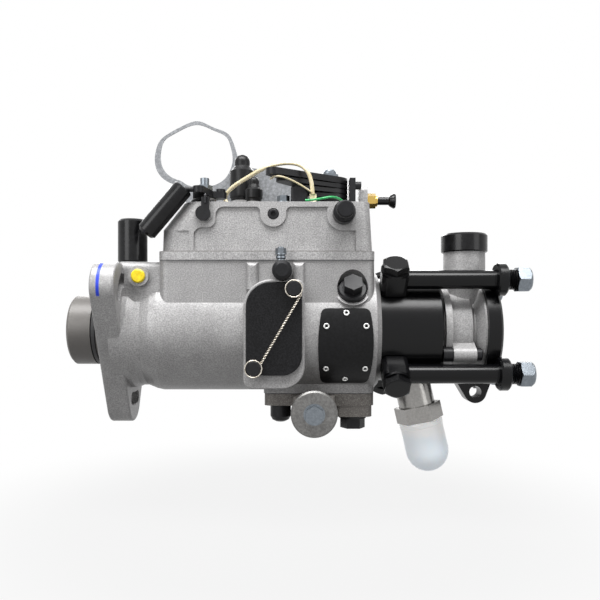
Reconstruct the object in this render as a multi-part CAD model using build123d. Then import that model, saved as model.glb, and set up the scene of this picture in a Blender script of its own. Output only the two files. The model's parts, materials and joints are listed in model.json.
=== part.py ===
from build123d import *
import math
import os

# Rotary distributor injection pump, in millimetres.
# X runs along the drive axis from the mounting face towards the outlets, Z is up,
# and the side with the inspection cover faces -Y.

# Pilot spigot and mounting flange
pilot_radius = 23.0
pilot_length = 24.0
pilot_chamfer = 1.5
o_ring_groove_start = 8.5
o_ring_groove_width = 3.6
o_ring_groove_depth = 2.2
flange_thickness = 15.0
stud_circle_radius = 46.0
lobe_radius = 15.2
lobe_angles = (36.0, 144.0, 270.0)
stud_slot_width = 8.6
stud_slot_sweep = 15.0

# Barrel of the housing
barrel_radius = 40.0
waist_step = 3.2
collar_step = 1.5
waist_x = 22.0
barrel_start_x = 36.0
housing_end_x = 176.5
housing_end_round = 3.0
cam_box_radius = 31.0
cam_box_start_x = 30.5
head_seat_x = 150.0
head_radius = 34.0

# Governor chamber on top of the barrel
chamber_front_x = 38.0
chamber_rear_x = 172.4
chamber_step = 4.0
chamber_rise = 3.5
chamber_wall = 7.5
chamber_corner = 6.0
neck_step = 4.0
ledge_drop = 5.5
ledge_width = 5.0
rib_width = 7.6
rib_depth = 3.2

# Governor cover
gasket_thickness = 0.4
cover_flange_height = 5.4
cover_flange_lip = 1.0
cover_height = 36.1
cover_shoulder_x = 39.4
cover_shoulder_height = 19.5
cover_top_front_x = 52.4
cover_top_rear_x = 169.4
cover_wall = 4.0
cover_corner_radius = 12.0
cover_rear_radius = 7.0
panel_depth = 1.4
panel_front_x = 60.0
panel_step_x = 73.6
panel_step_height = 20.1
panel_rear_x = 160.4
panel_margin = 3.2
panel_corner = 5.0
pillar_width = 2.9
front_screw_x = (66.2, 109.3)
front_screw_drop = 7.6
front_boss_radius = 8.0
front_screw_radius = 3.6
cap_bolt_x = 152.8
cap_bolt_boss_radius = 10.4
cap_bolt_length = 20.0
top_screw_x = 115.4
top_screw_y = 29.0
top_screw_radius = 2.5
rear_lug_bore_height = 6.6
rear_lug_height = 15.3
rear_lug_thickness = 5.4
rear_lug_half_width = 6.5
brass_radius = 4.7
brass_length = 7.0

# Levers and screw caps on the cover
stop_shaft_x = 63.8
stop_shaft_y = -14.0
stop_shaft_radius = 4.0
stop_lever_height = 5.4
stop_lever_thickness = 4.0
stop_hub_radius = 7.5
stop_arm_length = 10.7
stop_pin_length = 6.0
grip_radius = 6.2
grip_length = 37.1
grip_slope = 49.8
grip_top_x = 54.1
grip_top_height = 8.6
anchor_half_width = 2.4
anchor_offset = 1.4
tail_radius = 1.6
throttle_shaft_x = 146.0
throttle_shaft_y = 0.0
throttle_shaft_radius = 5.0
throttle_hub_radius = 9.0
throttle_drum_radius = 12.0
throttle_arm_length = 50.0
throttle_arm_angle = 223.0
throttle_height = 20.8
throttle_arm_thickness = 4.0
throttle_plate_thickness = 2.6
throttle_plate_pitch = 3.3
throttle_plate_shares = (0.84, 0.58, 0.36)
ball_stud_hole_radius = 2.6
speed_cap_x = 86.3
speed_cap_y = 12.0
speed_cap_radius = 8.65
speed_seat_height = 8.4
idle_cap_x = 95.2
idle_cap_y = -2.5
idle_cap_radius = 5.85
idle_seat_height = 5.4
cap_wall = 1.8

# Inspection cover on the barrel's side
pad_front_x = 91.2
pad_rear_x = 128.8
pad_top_z = 31.6
pad_bottom_z = -35.5
pad_height = 1.5
inspection_thickness = 2.6
inspection_margin = 1.7
inspection_bottom_z = -27.0
inspection_screw_radius = 3.0

# Name plate on the barrel
plate_front_x = 137.0
plate_rear_x = 171.0
plate_top_drop = 26.0
plate_bottom_rise = 6.4
plate_thickness = 0.5

# Advance unit below the barrel
advance_x = 134.5
advance_drop = 2.2
advance_bore = 8.8
advance_wall = 5.0
advance_half_length = 36.0
advance_pad_front_x = 102.5
advance_pad_rear_x = 173.5
advance_pad_half_width = 20.0
advance_pad_height = 0.6
advance_flange_thickness = 7.9
advance_plug_radius = 14.35
advance_plug_length = 7.5
advance_piston_length = 34.0
advance_bolt_radius = 4.0
stud_slot_half_width = 5.2
cam_stud_radius = 3.0
cam_ball_radius = 4.0

# Hydraulic head and delivery pipes
head_length = 66.0
banjo_place = 35.4
pipe_standoff = 8.0
pipe_angles = (50.0, -40.0, -130.0, 140.0)
pipe_radius = 6.0
pipe_thread_radius = 6.4
pipe_bore_radius = 2.0
pipe_overhang = 12.2
eye_length = 16.8
eye_width = 15.2
eye_corner = 3.6
eye_height = 14.5
banjo_head_flats = 15.0
banjo_head_height = 5.0
banjo_collar_radius = 8.9
banjo_collar_height = 1.8
banjo_bolt_radius = 4.0
ring_thickness = 9.2
ring_inner_radius = 24.0
ring_outer_radius = 34.0
ear_overlap = 2.4
ear_setback = 5.5
ear_length = 6.5
ring_lug_x = 242.5
ring_lug_drop = 7.3
ring_lug_radius = 7.4
ring_lug_half_width = 6.0
ring_lug_hole = 4.0
ring_lug_reach = 11.0
nut_flats = 14.8
nut_gap = 6.4
nut_length = 8.8

# End plate with the fuel inlet
end_plate_length = 27.6
end_plate_radius = 26.0
end_register_radius = 24.5
end_register_length = 2.1
end_face_radius = 29.5
end_face_thickness = 4.1
end_disc_radius = 31.0
end_disc_neck_radius = 22.5
end_disc_depth = 5.2
inlet_place = 19.5
inlet_y = -4.0
inlet_boss_radius = 13.6
inlet_boss_top_z = 55.9
inlet_thread_radius = 8.0
inlet_depth = 14.0
inlet_cap_radius = 15.1
inlet_cap_height = 12.5
inlet_cap_skirt = 5.0
end_screw_angles = (-30.0, -120.0, 150.0)
end_screw_circle = 30.6
end_stud_radius = 2.6
end_collar_radius = 5.0
end_screw_head_radius = 4.3
end_screw_head_length = 3.8
end_lug_radius = 5.4
end_lug_length = 14.4

# Union under the head
union_place = 55.8
union_drop = 21.4
union_tilt = 12.8
union_body_radius = 12.0
union_hex_flats = 27.0
union_hex_height = 10.4
union_nose_radius = 10.0
union_nose_length = 16.0
union_bore_radius = 5.0
union_cap_radius = 14.4
union_cap_length = 27.0

# Drive line
shaft_hub_radius = 14.0
shaft_radius = 10.0
shaft_front_x = -19.0
socket_depth = 16.0
socket_radius = 8.5
socket_mouth_depth = 5.0
spline_count = 12
spline_depth = 1.4
spline_width = 2.2
bush_wall = 2.5
bush_front_x = -12.0
seal_radius = 18.5
seal_length = 6.0
running_clearance = 0.03
tongue_width = 8.0
tongue_start_x = 108.0
tongue_length = 6.0

# Mechanical governor
cage_x = 33.0
cage_thickness = 3.5
cage_radius = 28.0
weight_count = 4
weight_length = 16.0
weight_width = 14.0
weight_inner_radius = 13.4
weight_outer_radius = 24.5
weight_pivot_x = 40.0
sleeve_front_x = 43.3
sleeve_rear_x = 69.0
sleeve_radius = 12.6
sleeve_flange_radius = 16.0
arm_x = 71.5
arm_thickness = 2.5
arm_pivot_z = 22.0
arm_half_width = 8.0
pivot_pin_radius = 2.0
link_rise = 5.5
link_radius = 1.2
valve_x = 158.0
valve_y = -10.0
valve_radius = 3.5

# Cam ring, rotor and plungers
cam_width = 17.0
cam_base_radius = 23.0
cam_lobe_radius = 21.2
rotor_front_x = 114.5
rotor_head_radius = 18.0
plunger_radius = 3.5
shoe_width = 8.4
roller_radius = 3.2
roller_length = 13.0
roller_centre = 17.6
transfer_rotor_radius = 16.0
transfer_bore_radius = 18.2
transfer_offset = 1.0
transfer_gap = 2.4
transfer_width = 9.6
blade_thickness = 2.4

# Small fittings on the housing
bleed_x = 115.0
bleed_drop = 6.6
bleed_boss_height = 2.5
bleed_plug_radius = 6.1
bleed_plug_length = 11.0
port_plug_x = 25.7
port_plug_drop = 9.6
port_plug_boss_height = 3.6
port_plug_radius = 4.3
locating_x = 158.4
locating_angle = 36.0
locating_boss_height = 1.6
locating_radius = 4.0
port_cap_x = 17.2
port_cap_y = -15.0
port_cap_seat_height = 0.5
port_cap_radius = 9.4
port_cap_height = 27.6
port_stub_radius = 6.0
port_stub_height = 18.0
spare_gasket_thickness = 0.8
spare_ring_outline = ((37.7, 102.1), (23.7, 117.9), (24.3, 125.2), (27.1, 132.5), (34.9, 138.8),
                      (44.5, 143.8), (54.0, 146.6), (65.3, 142.1), (75.4, 137.6), (79.9, 129.1),
                      (82.2, 121.8), (86.0, 114.4))
spare_lobe_outline = ((104.0, 111.7), (125.0, 104.0), (131.0, 88.0))
spare_foot_rear_x = 128.0
spare_foot_front_x = 51.5
spare_ring_hole = ((40.6, 105.0), (27.9, 118.5), (28.2, 126.3), (30.6, 133.0), (37.2, 137.6), (46.2, 142.3),
                   (54.0, 144.1), (65.0, 140.2), (74.1, 135.4), (77.1, 128.6), (78.6, 119.6), (76.5, 111.2),
                   (73.2, 106.1), (66.4, 101.8), (58.5, 100.2), (51.8, 100.4), (45.6, 102.1))
tie_radius = 0.9
wire_radius = 0.75

# Places that follow from the sizes above
waist_radius = barrel_radius - waist_step
collar_radius = barrel_radius - collar_step
chamber_half_width = barrel_radius - chamber_step
chamber_top_z = barrel_radius + chamber_rise
neck_half_width = chamber_half_width - neck_step
ledge_z = chamber_top_z - ledge_drop
link_z = chamber_top_z + link_rise
cover_base_z = chamber_top_z + gasket_thickness
cover_side_y = chamber_half_width
grip_y = -cover_side_y
cover_shoulder_z = cover_base_z + cover_shoulder_height
cover_top_z = cover_base_z + cover_height
front_screw_z = cover_top_z - front_screw_drop
panel_step_z = cover_base_z + panel_step_height
rear_lug_x = cover_top_rear_x + 1.5
rear_lug_z = cover_top_z + rear_lug_bore_height
stop_lever_z = cover_top_z + stop_lever_height
grip_top_z = cover_top_z + grip_top_height
throttle_top_z = cover_top_z + throttle_height
speed_seat_z = cover_top_z + speed_seat_height
idle_seat_z = cover_top_z + idle_seat_height
pad_depth = barrel_radius + pad_height
bleed_z = chamber_top_z - bleed_drop
bleed_seat = chamber_half_width + bleed_boss_height
port_plug_z = chamber_top_z - port_plug_drop
port_plug_seat = neck_half_width + port_plug_boss_height
flange_crown_z = stud_circle_radius * math.sin(math.radians(lobe_angles[0])) + lobe_radius
port_cap_seat_z = max(chamber_top_z, flange_crown_z) + port_cap_seat_height
plate_top_z = barrel_radius - plate_top_drop
plate_bottom_z = plate_bottom_rise - barrel_radius
locating_seat = barrel_radius + locating_boss_height
advance_pad_z = -barrel_radius - advance_pad_height
advance_flange_top_z = advance_pad_z - gasket_thickness
advance_flange_z = advance_pad_z - advance_flange_thickness
advance_z = advance_flange_z - advance_drop
head_front_x = head_seat_x
head_rear_x = head_front_x + head_length
transfer_front_x = head_rear_x + transfer_gap
bush_radius = shaft_hub_radius + bush_wall
banjo_x = head_front_x + banjo_place
pipe_circle_radius = head_radius + pipe_standoff
ear_radius = pipe_circle_radius - ring_outer_radius + ear_overlap
eye_top_radius = head_radius + eye_height
end_plate_front_x = head_rear_x + 0.1
ring_front_x = end_plate_front_x + end_plate_length + 0.1
ring_rear_x = ring_front_x + ring_thickness
ear_front_x = ring_front_x + ear_setback
ear_rear_x = ear_front_x + ear_length
pipe_end_x = ear_rear_x + pipe_overhang
nut_start_x = ear_rear_x + nut_gap
inlet_x = head_rear_x + inlet_place
union_x = head_front_x + union_place
union_z = -head_radius - union_drop
inspection_screw_places = ((pad_rear_x - 6.7, pad_top_z - 6.0),
                           (pad_front_x + 6.5, inspection_bottom_z + 4.3))
advance_bolt_places = ((advance_x - 21.2, -12.0), (advance_x + 26.0, -10.0))


def turned(profile, start=(0, 0, 0), direction=(0, 0, 1)):
    """Solid of revolution from (radius, height) points, on an axis from start."""
    section = make_face(Plane.XZ * Polyline(*profile, close=True))
    solid = revolve(section, axis=Axis.Z)
    return Plane(origin=start, z_dir=direction).location * solid


def rod(radius, start, end):
    """Round bar between two points."""
    direction = Vector(*end) - Vector(*start)
    place = Plane(origin=start, z_dir=direction)
    return extrude(place * Circle(radius), amount=direction.length)


def hex_bar(flats, start, end, turn=0.0):
    """Hexagonal bar between two points."""
    direction = Vector(*end) - Vector(*start)
    place = Plane(origin=start, z_dir=direction)
    section = place * Rot(0, 0, turn) * RegularPolygon(flats / 2, 6, major_radius=False)
    return extrude(section, amount=direction.length)


def block(low, high):
    """Rectangular block between two corners."""
    size = [b - a for a, b in zip(low, high)]
    middle = [(a + b) / 2 for a, b in zip(low, high)]
    return Pos(*middle) * Box(*size)


def hull_outline(circles):
    """Outline drawn tight round several circles given as (x, y, radius)."""
    edges = []
    for x, y, radius in circles:
        edges += (Pos(x, y) * Circle(radius)).edges()
    return make_hull(edges)


def hull_plate(circles, z, thickness):
    """Flat plate in plan, round several circles."""
    return Pos(0, 0, z) * extrude(hull_outline(circles), amount=thickness)


def radial(angle, radius, x):
    """Point at a radius from the drive axis, angle counted up from the -Y side."""
    turn = math.radians(angle)
    return (x, -radius * math.cos(turn), radius * math.sin(turn))


def group(*solids):
    """Several loose solids that share one node."""
    return Compound(children=[solid.solid() for solid in solids])


def rounded_sheet(left, right, bottom, top, radii):
    """Outline with its own corner radii: lower left, lower right, upper right, upper left."""
    corners = ((left, bottom), (right, bottom), (right, top), (left, top))
    signs = ((1, 1), (-1, 1), (-1, -1), (1, -1))
    edges = []
    for (x, z), (sx, sz), radius in zip(corners, signs, radii):
        edges += (Pos(x + sx * radius, z + sz * radius) * Circle(radius)).edges()
    return make_hull(edges)


def side_extrusion(outline, near, far):
    """Extrude an X-Z outline from depth near to depth far on the -Y side."""
    return extrude(Plane.XZ.offset(near) * outline, amount=far - near)


# Pump housing


def flange_outline():
    corners = []
    for angle in lobe_angles:
        turn = math.radians(angle)
        corners.append((stud_circle_radius * math.cos(turn), stud_circle_radius * math.sin(turn)))
    return offset(make_face(Polyline(*corners, close=True)), amount=lobe_radius, kind=Kind.ARC)


def stud_slots(length):
    cutters = Part()
    for angle in lobe_angles:
        arc = CenterArc((0, 0), stud_circle_radius, angle - stud_slot_sweep / 2, stud_slot_sweep)
        cutters += extrude(Plane.YZ.offset(-1) * SlotArc(arc, stud_slot_width), amount=length)
    return cutters


def barrel_profile():
    """Turned outline of the spigot, collar, waist and barrel."""
    groove_floor = pilot_radius - o_ring_groove_depth
    groove_end = o_ring_groove_width - o_ring_groove_start
    return [
        (0, -pilot_length),
        (pilot_radius - pilot_chamfer, -pilot_length),
        (pilot_radius, pilot_chamfer - pilot_length),
        (pilot_radius, -o_ring_groove_start),
        (groove_floor, -o_ring_groove_start),
        (groove_floor, groove_end),
        (pilot_radius, groove_end),
        (pilot_radius, flange_thickness / 2),
        (collar_radius, flange_thickness / 2),
        (collar_radius, flange_thickness + 3),
        (waist_radius, waist_x),
        (waist_radius, waist_x + 4),
        (barrel_radius - 0.8, barrel_start_x - 4),
        (barrel_radius, barrel_start_x),
        (barrel_radius, housing_end_x - housing_end_round),
        (barrel_radius - housing_end_round, housing_end_x),
        (0, housing_end_x),
    ]


def pad_outline(margin, bottom):
    """Inspection pad in X and Z: large radii at the upper left and the lower right."""
    radii = (5 - margin, 14 - margin, 5 - margin, 17 - margin)
    return rounded_sheet(pad_front_x + margin, pad_rear_x - margin, bottom, pad_top_z - margin, radii)


def housing_outside():
    """Spigot, flange, barrel, neck, chamber walls, pads, ribs and bosses in one casting."""
    flange = extrude(Plane.YZ * flange_outline(), amount=flange_thickness)
    flange = fillet(flange.edges().filter_by(GeomType.LINE, reverse=False).filter_by(Plane.YZ), 1.5)
    body = turned(barrel_profile(), direction=(1, 0, 0)) + flange
    neck = block((flange_thickness - 2, -neck_half_width, 12),
                 (chamber_front_x + 9, neck_half_width, chamber_top_z))
    body += fillet(neck.edges().filter_by(Axis.X), 5)
    chamber = block((chamber_front_x, -chamber_half_width, -4),
                    (chamber_rear_x, chamber_half_width, chamber_top_z))
    body += fillet(chamber.edges().filter_by(Axis.Z), chamber_corner)
    pad = side_extrusion(pad_outline(0, pad_bottom_z), pad_depth - 16, pad_depth)
    body += fillet(pad.faces().sort_by(Axis.Y)[0].edges(), 1.0)
    foot = block((advance_pad_front_x, -advance_pad_half_width, advance_pad_z),
                 (advance_pad_rear_x, advance_pad_half_width, advance_pad_z + 14))
    body += fillet(foot.edges().filter_by(Axis.Z), 4)
    for x in (pad_front_x + rib_width / 2 + 1.4, pad_rear_x - rib_width / 2):
        rib = block((x - rib_width / 2, -chamber_half_width - rib_depth, pad_top_z - 6),
                    (x + rib_width / 2, 2 - chamber_half_width, chamber_top_z - 1.2))
        front = rib.faces().sort_by(Axis.Y)[0].edges()
        body += fillet(front.filter_by(Axis.Z) + front.sort_by(Axis.Z)[-1:], rib_depth - 0.2)
    body += rod(bleed_plug_radius + 0.4, (bleed_x, 2 - chamber_half_width, bleed_z),
                (bleed_x, -bleed_seat, bleed_z))
    body += rod(port_plug_radius + 2, (port_plug_x, 4 - neck_half_width, port_plug_z),
                (port_plug_x, -port_plug_seat, port_plug_z))
    body += rod(10.5, radial(locating_angle, head_radius + 1, locating_x),
                radial(locating_angle, locating_seat, locating_x))
    body += rod(port_cap_radius - 0.6, (port_cap_x, port_cap_y, chamber_top_z - 12),
                (port_cap_x, port_cap_y, port_cap_seat_z))
    body += rod(port_stub_radius, (port_cap_x, port_cap_y, port_cap_seat_z - 1),
                (port_cap_x, port_cap_y, port_cap_seat_z + port_stub_height))
    return body


def pump_housing():
    """Casting with its stud slots, bores, governor chamber and screw holes opened."""
    body = housing_outside() - stud_slots(flange_thickness + 2)
    body -= turned([
        (0, -pilot_length - 1), (seal_radius, -pilot_length - 1), (seal_radius, bush_front_x),
        (bush_radius, bush_front_x), (bush_radius, cam_box_start_x),
        (cam_box_radius, cam_box_start_x), (cam_box_radius, head_seat_x),
        (head_radius + running_clearance, head_seat_x),
        (head_radius + running_clearance, housing_end_x + 1), (0, housing_end_x + 1),
    ], direction=(1, 0, 0))
    inner = chamber_half_width - chamber_wall
    front = chamber_front_x + chamber_wall
    rear = chamber_rear_x - chamber_wall
    body -= block((front, -inner, ledge_z), (rear, inner, chamber_top_z + 1))
    body -= block((front, ledge_width - inner, 0), (rear, inner - ledge_width, ledge_z))
    body -= block((advance_x - stud_slot_half_width, -8, advance_pad_z - 1),
                  (advance_x + stud_slot_half_width, 8, 2 - cam_box_radius))
    body -= rod(locating_radius, radial(locating_angle, head_radius - 4, locating_x),
                radial(locating_angle, locating_seat + 1, locating_x))
    body -= rod(bleed_plug_radius + 0.4, (bleed_x, -bleed_seat, bleed_z),
                (bleed_x, -pad_depth - 2, bleed_z))
    body -= rod(9.6, radial(locating_angle, locating_seat, locating_x),
                radial(locating_angle, locating_seat + 14, locating_x))
    body -= rod(locating_radius, (bleed_x, 8 - bleed_seat, bleed_z), (bleed_x, -bleed_seat - 1, bleed_z))
    body -= rod(port_plug_radius - 1.3, (port_plug_x, 6 - port_plug_seat, port_plug_z),
                (port_plug_x, -port_plug_seat - 1, port_plug_z))
    for x, z in inspection_screw_places:
        body -= rod(inspection_screw_radius, (x, 7 - pad_depth, z), (x, -pad_depth - 1, z))
    for x, y in advance_bolt_places:
        body -= rod(advance_bolt_radius, (x, y, advance_pad_z - 1), (x, y, advance_pad_z + 7))
    return body


def seals():
    """Rubber O-ring in the pilot groove and the shaft's lip seal."""
    floor = pilot_radius - o_ring_groove_depth
    start = 0.2 - o_ring_groove_start
    width = o_ring_groove_width - 0.4
    o_ring = turned([(floor, start), (pilot_radius - 0.6, start), (pilot_radius - 0.1, start + 0.6),
                     (pilot_radius - 0.1, start + width - 0.6), (pilot_radius - 0.6, start + width),
                     (floor, start + width)], direction=(1, 0, 0))
    lip = turned([(shaft_hub_radius + running_clearance, bush_front_x - seal_length),
                  (seal_radius, bush_front_x - seal_length), (seal_radius, bush_front_x),
                  (shaft_hub_radius + running_clearance, bush_front_x)], direction=(1, 0, 0))
    return group(o_ring, lip)


def port_cap():
    """Black moulded cap over the pipe stub on the neck."""
    inner = port_stub_radius + 0.1
    top = port_cap_height
    return turned([(inner, 0), (port_cap_radius - 0.8, 0), (port_cap_radius, 0.8),
                   (port_cap_radius, top - 1.4), (port_cap_radius - 1.4, top), (0, top),
                   (0, port_stub_height + 0.4), (inner, port_stub_height + 0.4)],
                  start=(port_cap_x, port_cap_y, port_cap_seat_z))


def port_plug():
    """Plastic plug with a thin disc and a short stem."""
    return turned([(0, -5), (port_plug_radius - 1.4, -5), (port_plug_radius - 1.4, 0),
                   (port_plug_radius, 0),
                   (port_plug_radius, 1.0), (port_plug_radius - 0.8, 1.7), (0, 1.7)],
                  start=(port_plug_x, -port_plug_seat, port_plug_z), direction=(0, -1, 0))


def side_plugs():
    """Round plug above the inspection cover, and the bolt that locates the head."""
    plug = turned([(0, -7.5), (locating_radius - 0.1, -7.5), (locating_radius - 0.1, 0),
                   (bleed_plug_radius, 0),
                   (bleed_plug_radius, bleed_plug_length - 2.2),
                   (bleed_plug_radius - 2.2, bleed_plug_length), (0, bleed_plug_length)],
                  start=(bleed_x, -bleed_seat, bleed_z), direction=(0, -1, 0))
    seat = radial(locating_angle, locating_seat, locating_x)
    out = Vector(*radial(locating_angle, 1, 0))
    bolt = turned([(0, head_radius - 3 - locating_seat),
                   (locating_radius - 0.1, head_radius - 3 - locating_seat),
                   (locating_radius - 0.1, 0), (8.9, 0), (8.9, 2.6), (8.2, 3.4), (0, 3.4)],
                  start=seat, direction=out)
    bolt += hex_bar(11, Vector(*seat) + out * 3.3, Vector(*seat) + out * 9.5)
    return group(plug, bolt)


def bleed_screw():
    """Small zinc bleed screw that stands on the round plug: ball neck, collar and hexagon."""
    y = -bleed_seat - bleed_plug_length / 2
    foot = (bleed_x - 0.8, y, bleed_z + bleed_plug_radius)
    screw = turned([(0, 0), (2.4, 0), (2.4, 0.6), (3.1, 1.2), (3.1, 2.4), (2.4, 3.0), (2.4, 3.4),
                    (3.5, 3.4),
                    (3.5, 4.0), (0, 4.0)], start=foot)
    screw += hex_bar(5.8, Vector(*foot) + Vector(0, 0, 3.9), Vector(*foot) + Vector(0, 0, 7.2))
    screw += rod(1.9, Vector(*foot) + Vector(0, 0, 7.1), Vector(*foot) + Vector(0, 0, 8.0))
    return screw


# Side of the barrel


def inspection_cover():
    """Flat plate that closes the side opening."""
    outline = pad_outline(inspection_margin, inspection_bottom_z)
    plate = side_extrusion(outline, pad_depth, pad_depth + inspection_thickness)
    plate = fillet(plate.faces().sort_by(Axis.Y)[0].edges(), 0.6)
    for x, z in inspection_screw_places:
        plate -= rod(inspection_screw_radius + 0.2, (x, 1 - pad_depth, z), (x, -pad_depth - 4, z))
    return plate


def inspection_screws():
    """Two cheese head screws with a cross hole for the seal wire."""
    seat = pad_depth + inspection_thickness
    screws = []
    for x, z in inspection_screw_places:
        screw = turned([(0, -9), (inspection_screw_radius, -9), (inspection_screw_radius, 0), (4.8, 0),
                        (4.8, 3.6), (4.2, 4.2), (0, 4.2)], start=(x, -seat, z), direction=(0, -1, 0))
        screws.append(screw)
    return group(*screws)


def nameplate():
    """Thin plate rolled to the barrel, with bulging sides, left bare."""
    bulge = 1.6
    corner = 4.0
    left = plate_front_x + bulge
    right = plate_rear_x - bulge
    middle = (plate_top_z + plate_bottom_z) / 2
    sides = [
        Line((left + corner, plate_top_z), (right - corner, plate_top_z)),
        RadiusArc((right - corner, plate_top_z), (right, plate_top_z - corner), corner),
        ThreePointArc((right, plate_top_z - corner), (plate_rear_x, middle),
                      (right, plate_bottom_z + corner)),
        RadiusArc((right, plate_bottom_z + corner), (right - corner, plate_bottom_z), corner),
        Line((right - corner, plate_bottom_z), (left + corner, plate_bottom_z)),
        RadiusArc((left + corner, plate_bottom_z), (left, plate_bottom_z + corner), corner),
        ThreePointArc((left, plate_bottom_z + corner), (plate_front_x, middle),
                      (left, plate_top_z - corner)),
        RadiusArc((left, plate_top_z - corner), (left + corner, plate_top_z), corner),
    ]
    outline = make_face(sides)
    inner = barrel_radius + 0.1
    shell = turned([(inner, plate_front_x - 1), (inner + plate_thickness, plate_front_x - 1),
                    (inner + plate_thickness, plate_rear_x + 1), (inner, plate_rear_x + 1)],
                   direction=(1, 0, 0))
    return shell & side_extrusion(outline, 2, barrel_radius + 4)


# Governor cover and what is on it


def cover_profile(inset):
    """Side view of the cover with its sloping front shoulder, moved in by inset."""
    return [
        (cover_shoulder_x - 0.6 + inset, cover_base_z),
        (cover_shoulder_x + inset, cover_shoulder_z),
        (cover_top_front_x + inset, cover_top_z - inset),
        (cover_top_rear_x - inset, cover_top_z - inset),
        (chamber_rear_x - 0.9 - inset, cover_base_z),
    ]


def cover_panel():
    """Sunk panel on the cover's side, stepped round the screw bosses."""
    low = cover_base_z + cover_flange_height + 0.4
    top = cover_top_z - panel_margin
    outline = make_face(Polyline(
        (panel_front_x, low), (panel_front_x, panel_step_z), (panel_step_x, panel_step_z),
        (panel_step_x, top), (panel_rear_x, top), (panel_rear_x, low), close=True))
    outline = fillet(outline.vertices().sort_by(Axis.Y)[2:], panel_corner)
    boss_x, rear_x = front_screw_x[1], cap_bolt_x
    boss_top = cover_top_z - front_screw_z
    outline -= Pos(boss_x, front_screw_z) * Circle(front_boss_radius)
    outline -= Pos(boss_x, front_screw_z + boss_top / 2) * Rectangle(2 * front_boss_radius, boss_top)
    outline -= Pos(rear_x, front_screw_z) * Circle(cap_bolt_boss_radius)
    rear_width = panel_rear_x - rear_x + 1
    outline -= Pos(rear_x + rear_width / 2, front_screw_z) * Rectangle(rear_width, 2 * cap_bolt_boss_radius)
    near_top = [point for point in outline.vertices()
                if abs(point.Y - top) < 0.01 and abs(point.X - boss_x) < front_boss_radius + 0.01]
    outline = fillet(near_top, 3.0)
    return side_extrusion(outline, cover_side_y - panel_depth, cover_side_y + 1)


def cover_front_relief():
    """Shallow step that leaves the raised pillar ahead of the sunk panel."""
    low = cover_base_z + cover_flange_height + 0.4
    rear = panel_front_x - pillar_width
    outline = make_face(Polyline((cover_shoulder_x - 4, low), (rear, low), (rear, panel_step_z - 2),
                                 (cover_shoulder_x - 4, panel_step_z - 2), close=True))
    return side_extrusion(outline, cover_side_y - 0.7, cover_side_y + 1)


def governor_cover():
    """Cast box with a flange, shoulder, sunk panel, seats for the levers and a rear lug."""
    side = make_face(Polyline(*cover_profile(0), close=True))
    body = extrude(Plane.XZ * side, amount=cover_side_y, both=True)
    flanks = body.edges().group_by(Axis.Y)[0] + body.edges().group_by(Axis.Y)[-1]
    body = fillet([edge for edge in flanks if edge.center().Z > cover_base_z and
                   edge.center().X < cover_top_front_x], cover_corner_radius)
    flanks = body.edges().group_by(Axis.Y)[0] + body.edges().group_by(Axis.Y)[-1]
    body = fillet([edge for edge in flanks if edge.center().Z > cover_base_z and
                   edge.center().X > cover_top_rear_x], cover_rear_radius)
    rim = block((chamber_front_x, -cover_side_y - cover_flange_lip, cover_base_z),
                (chamber_rear_x, cover_side_y + cover_flange_lip, cover_base_z + cover_flange_height))
    body += fillet(rim.edges().filter_by(Axis.Z), chamber_corner)
    body += rod(stop_hub_radius, (stop_shaft_x, stop_shaft_y, cover_top_z - 1),
                (stop_shaft_x, stop_shaft_y, stop_lever_z - 0.3))
    body += rod(throttle_hub_radius, (throttle_shaft_x, throttle_shaft_y, cover_top_z - 1),
                (throttle_shaft_x, throttle_shaft_y, cover_top_z + 4))
    body += rod(speed_cap_radius - 0.9, (speed_cap_x, speed_cap_y, cover_top_z - 1),
                (speed_cap_x, speed_cap_y, speed_seat_z))
    body += rod(idle_cap_radius - 0.6, (idle_cap_x, idle_cap_y, cover_top_z - 1),
                (idle_cap_x, idle_cap_y, idle_seat_z))
    lug = block((rear_lug_x - rear_lug_thickness, -rear_lug_half_width, cover_top_z - 10),
                (rear_lug_x, rear_lug_half_width, cover_top_z + rear_lug_height))
    body += fillet(lug.edges().filter_by(Axis.X).group_by(Axis.Z)[-1], 3)
    body += rod(5.6, (front_screw_x[0], 3 - cover_side_y, front_screw_z),
                (front_screw_x[0], -cover_side_y - 0.6, front_screw_z))
    inner = make_face(Polyline(*cover_profile(cover_wall), close=True))
    hollow = extrude(Plane.XZ * inner, amount=cover_side_y - cover_wall - panel_depth - 2, both=True)
    body -= hollow
    body -= cover_panel()
    body -= cover_front_relief()
    for x in front_screw_x:
        body -= rod(front_screw_radius, (x, 5.6 - cover_side_y, front_screw_z),
                    (x, -cover_side_y - 2, front_screw_z))
    for y in (-top_screw_y, top_screw_y):
        body -= rod(top_screw_radius, (top_screw_x, y, cover_top_z - 3), (top_screw_x, y, cover_top_z + 1))
    body -= rod(stop_shaft_radius + running_clearance, (stop_shaft_x, stop_shaft_y, cover_top_z - 8),
                (stop_shaft_x, stop_shaft_y, stop_lever_z))
    body -= rod(throttle_shaft_radius + running_clearance,
                (throttle_shaft_x, throttle_shaft_y, cover_top_z - 8),
                (throttle_shaft_x, throttle_shaft_y, cover_top_z + 5))
    body -= rod(3.0, (rear_lug_x - 5, 0, rear_lug_z), (rear_lug_x + 1, 0, rear_lug_z))
    return body


def cover_gasket():
    """Thin sheet between the housing and the cover."""
    sheet = block((chamber_front_x, -cover_side_y, chamber_top_z),
                  (chamber_rear_x, cover_side_y, cover_base_z))
    sheet = fillet(sheet.edges().filter_by(Axis.Z), chamber_corner)
    inner = chamber_half_width - chamber_wall
    window = block((chamber_front_x + chamber_wall, -inner, chamber_top_z - 1),
                   (chamber_rear_x - chamber_wall, inner, cover_base_z + 1))
    return sheet - window


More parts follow.
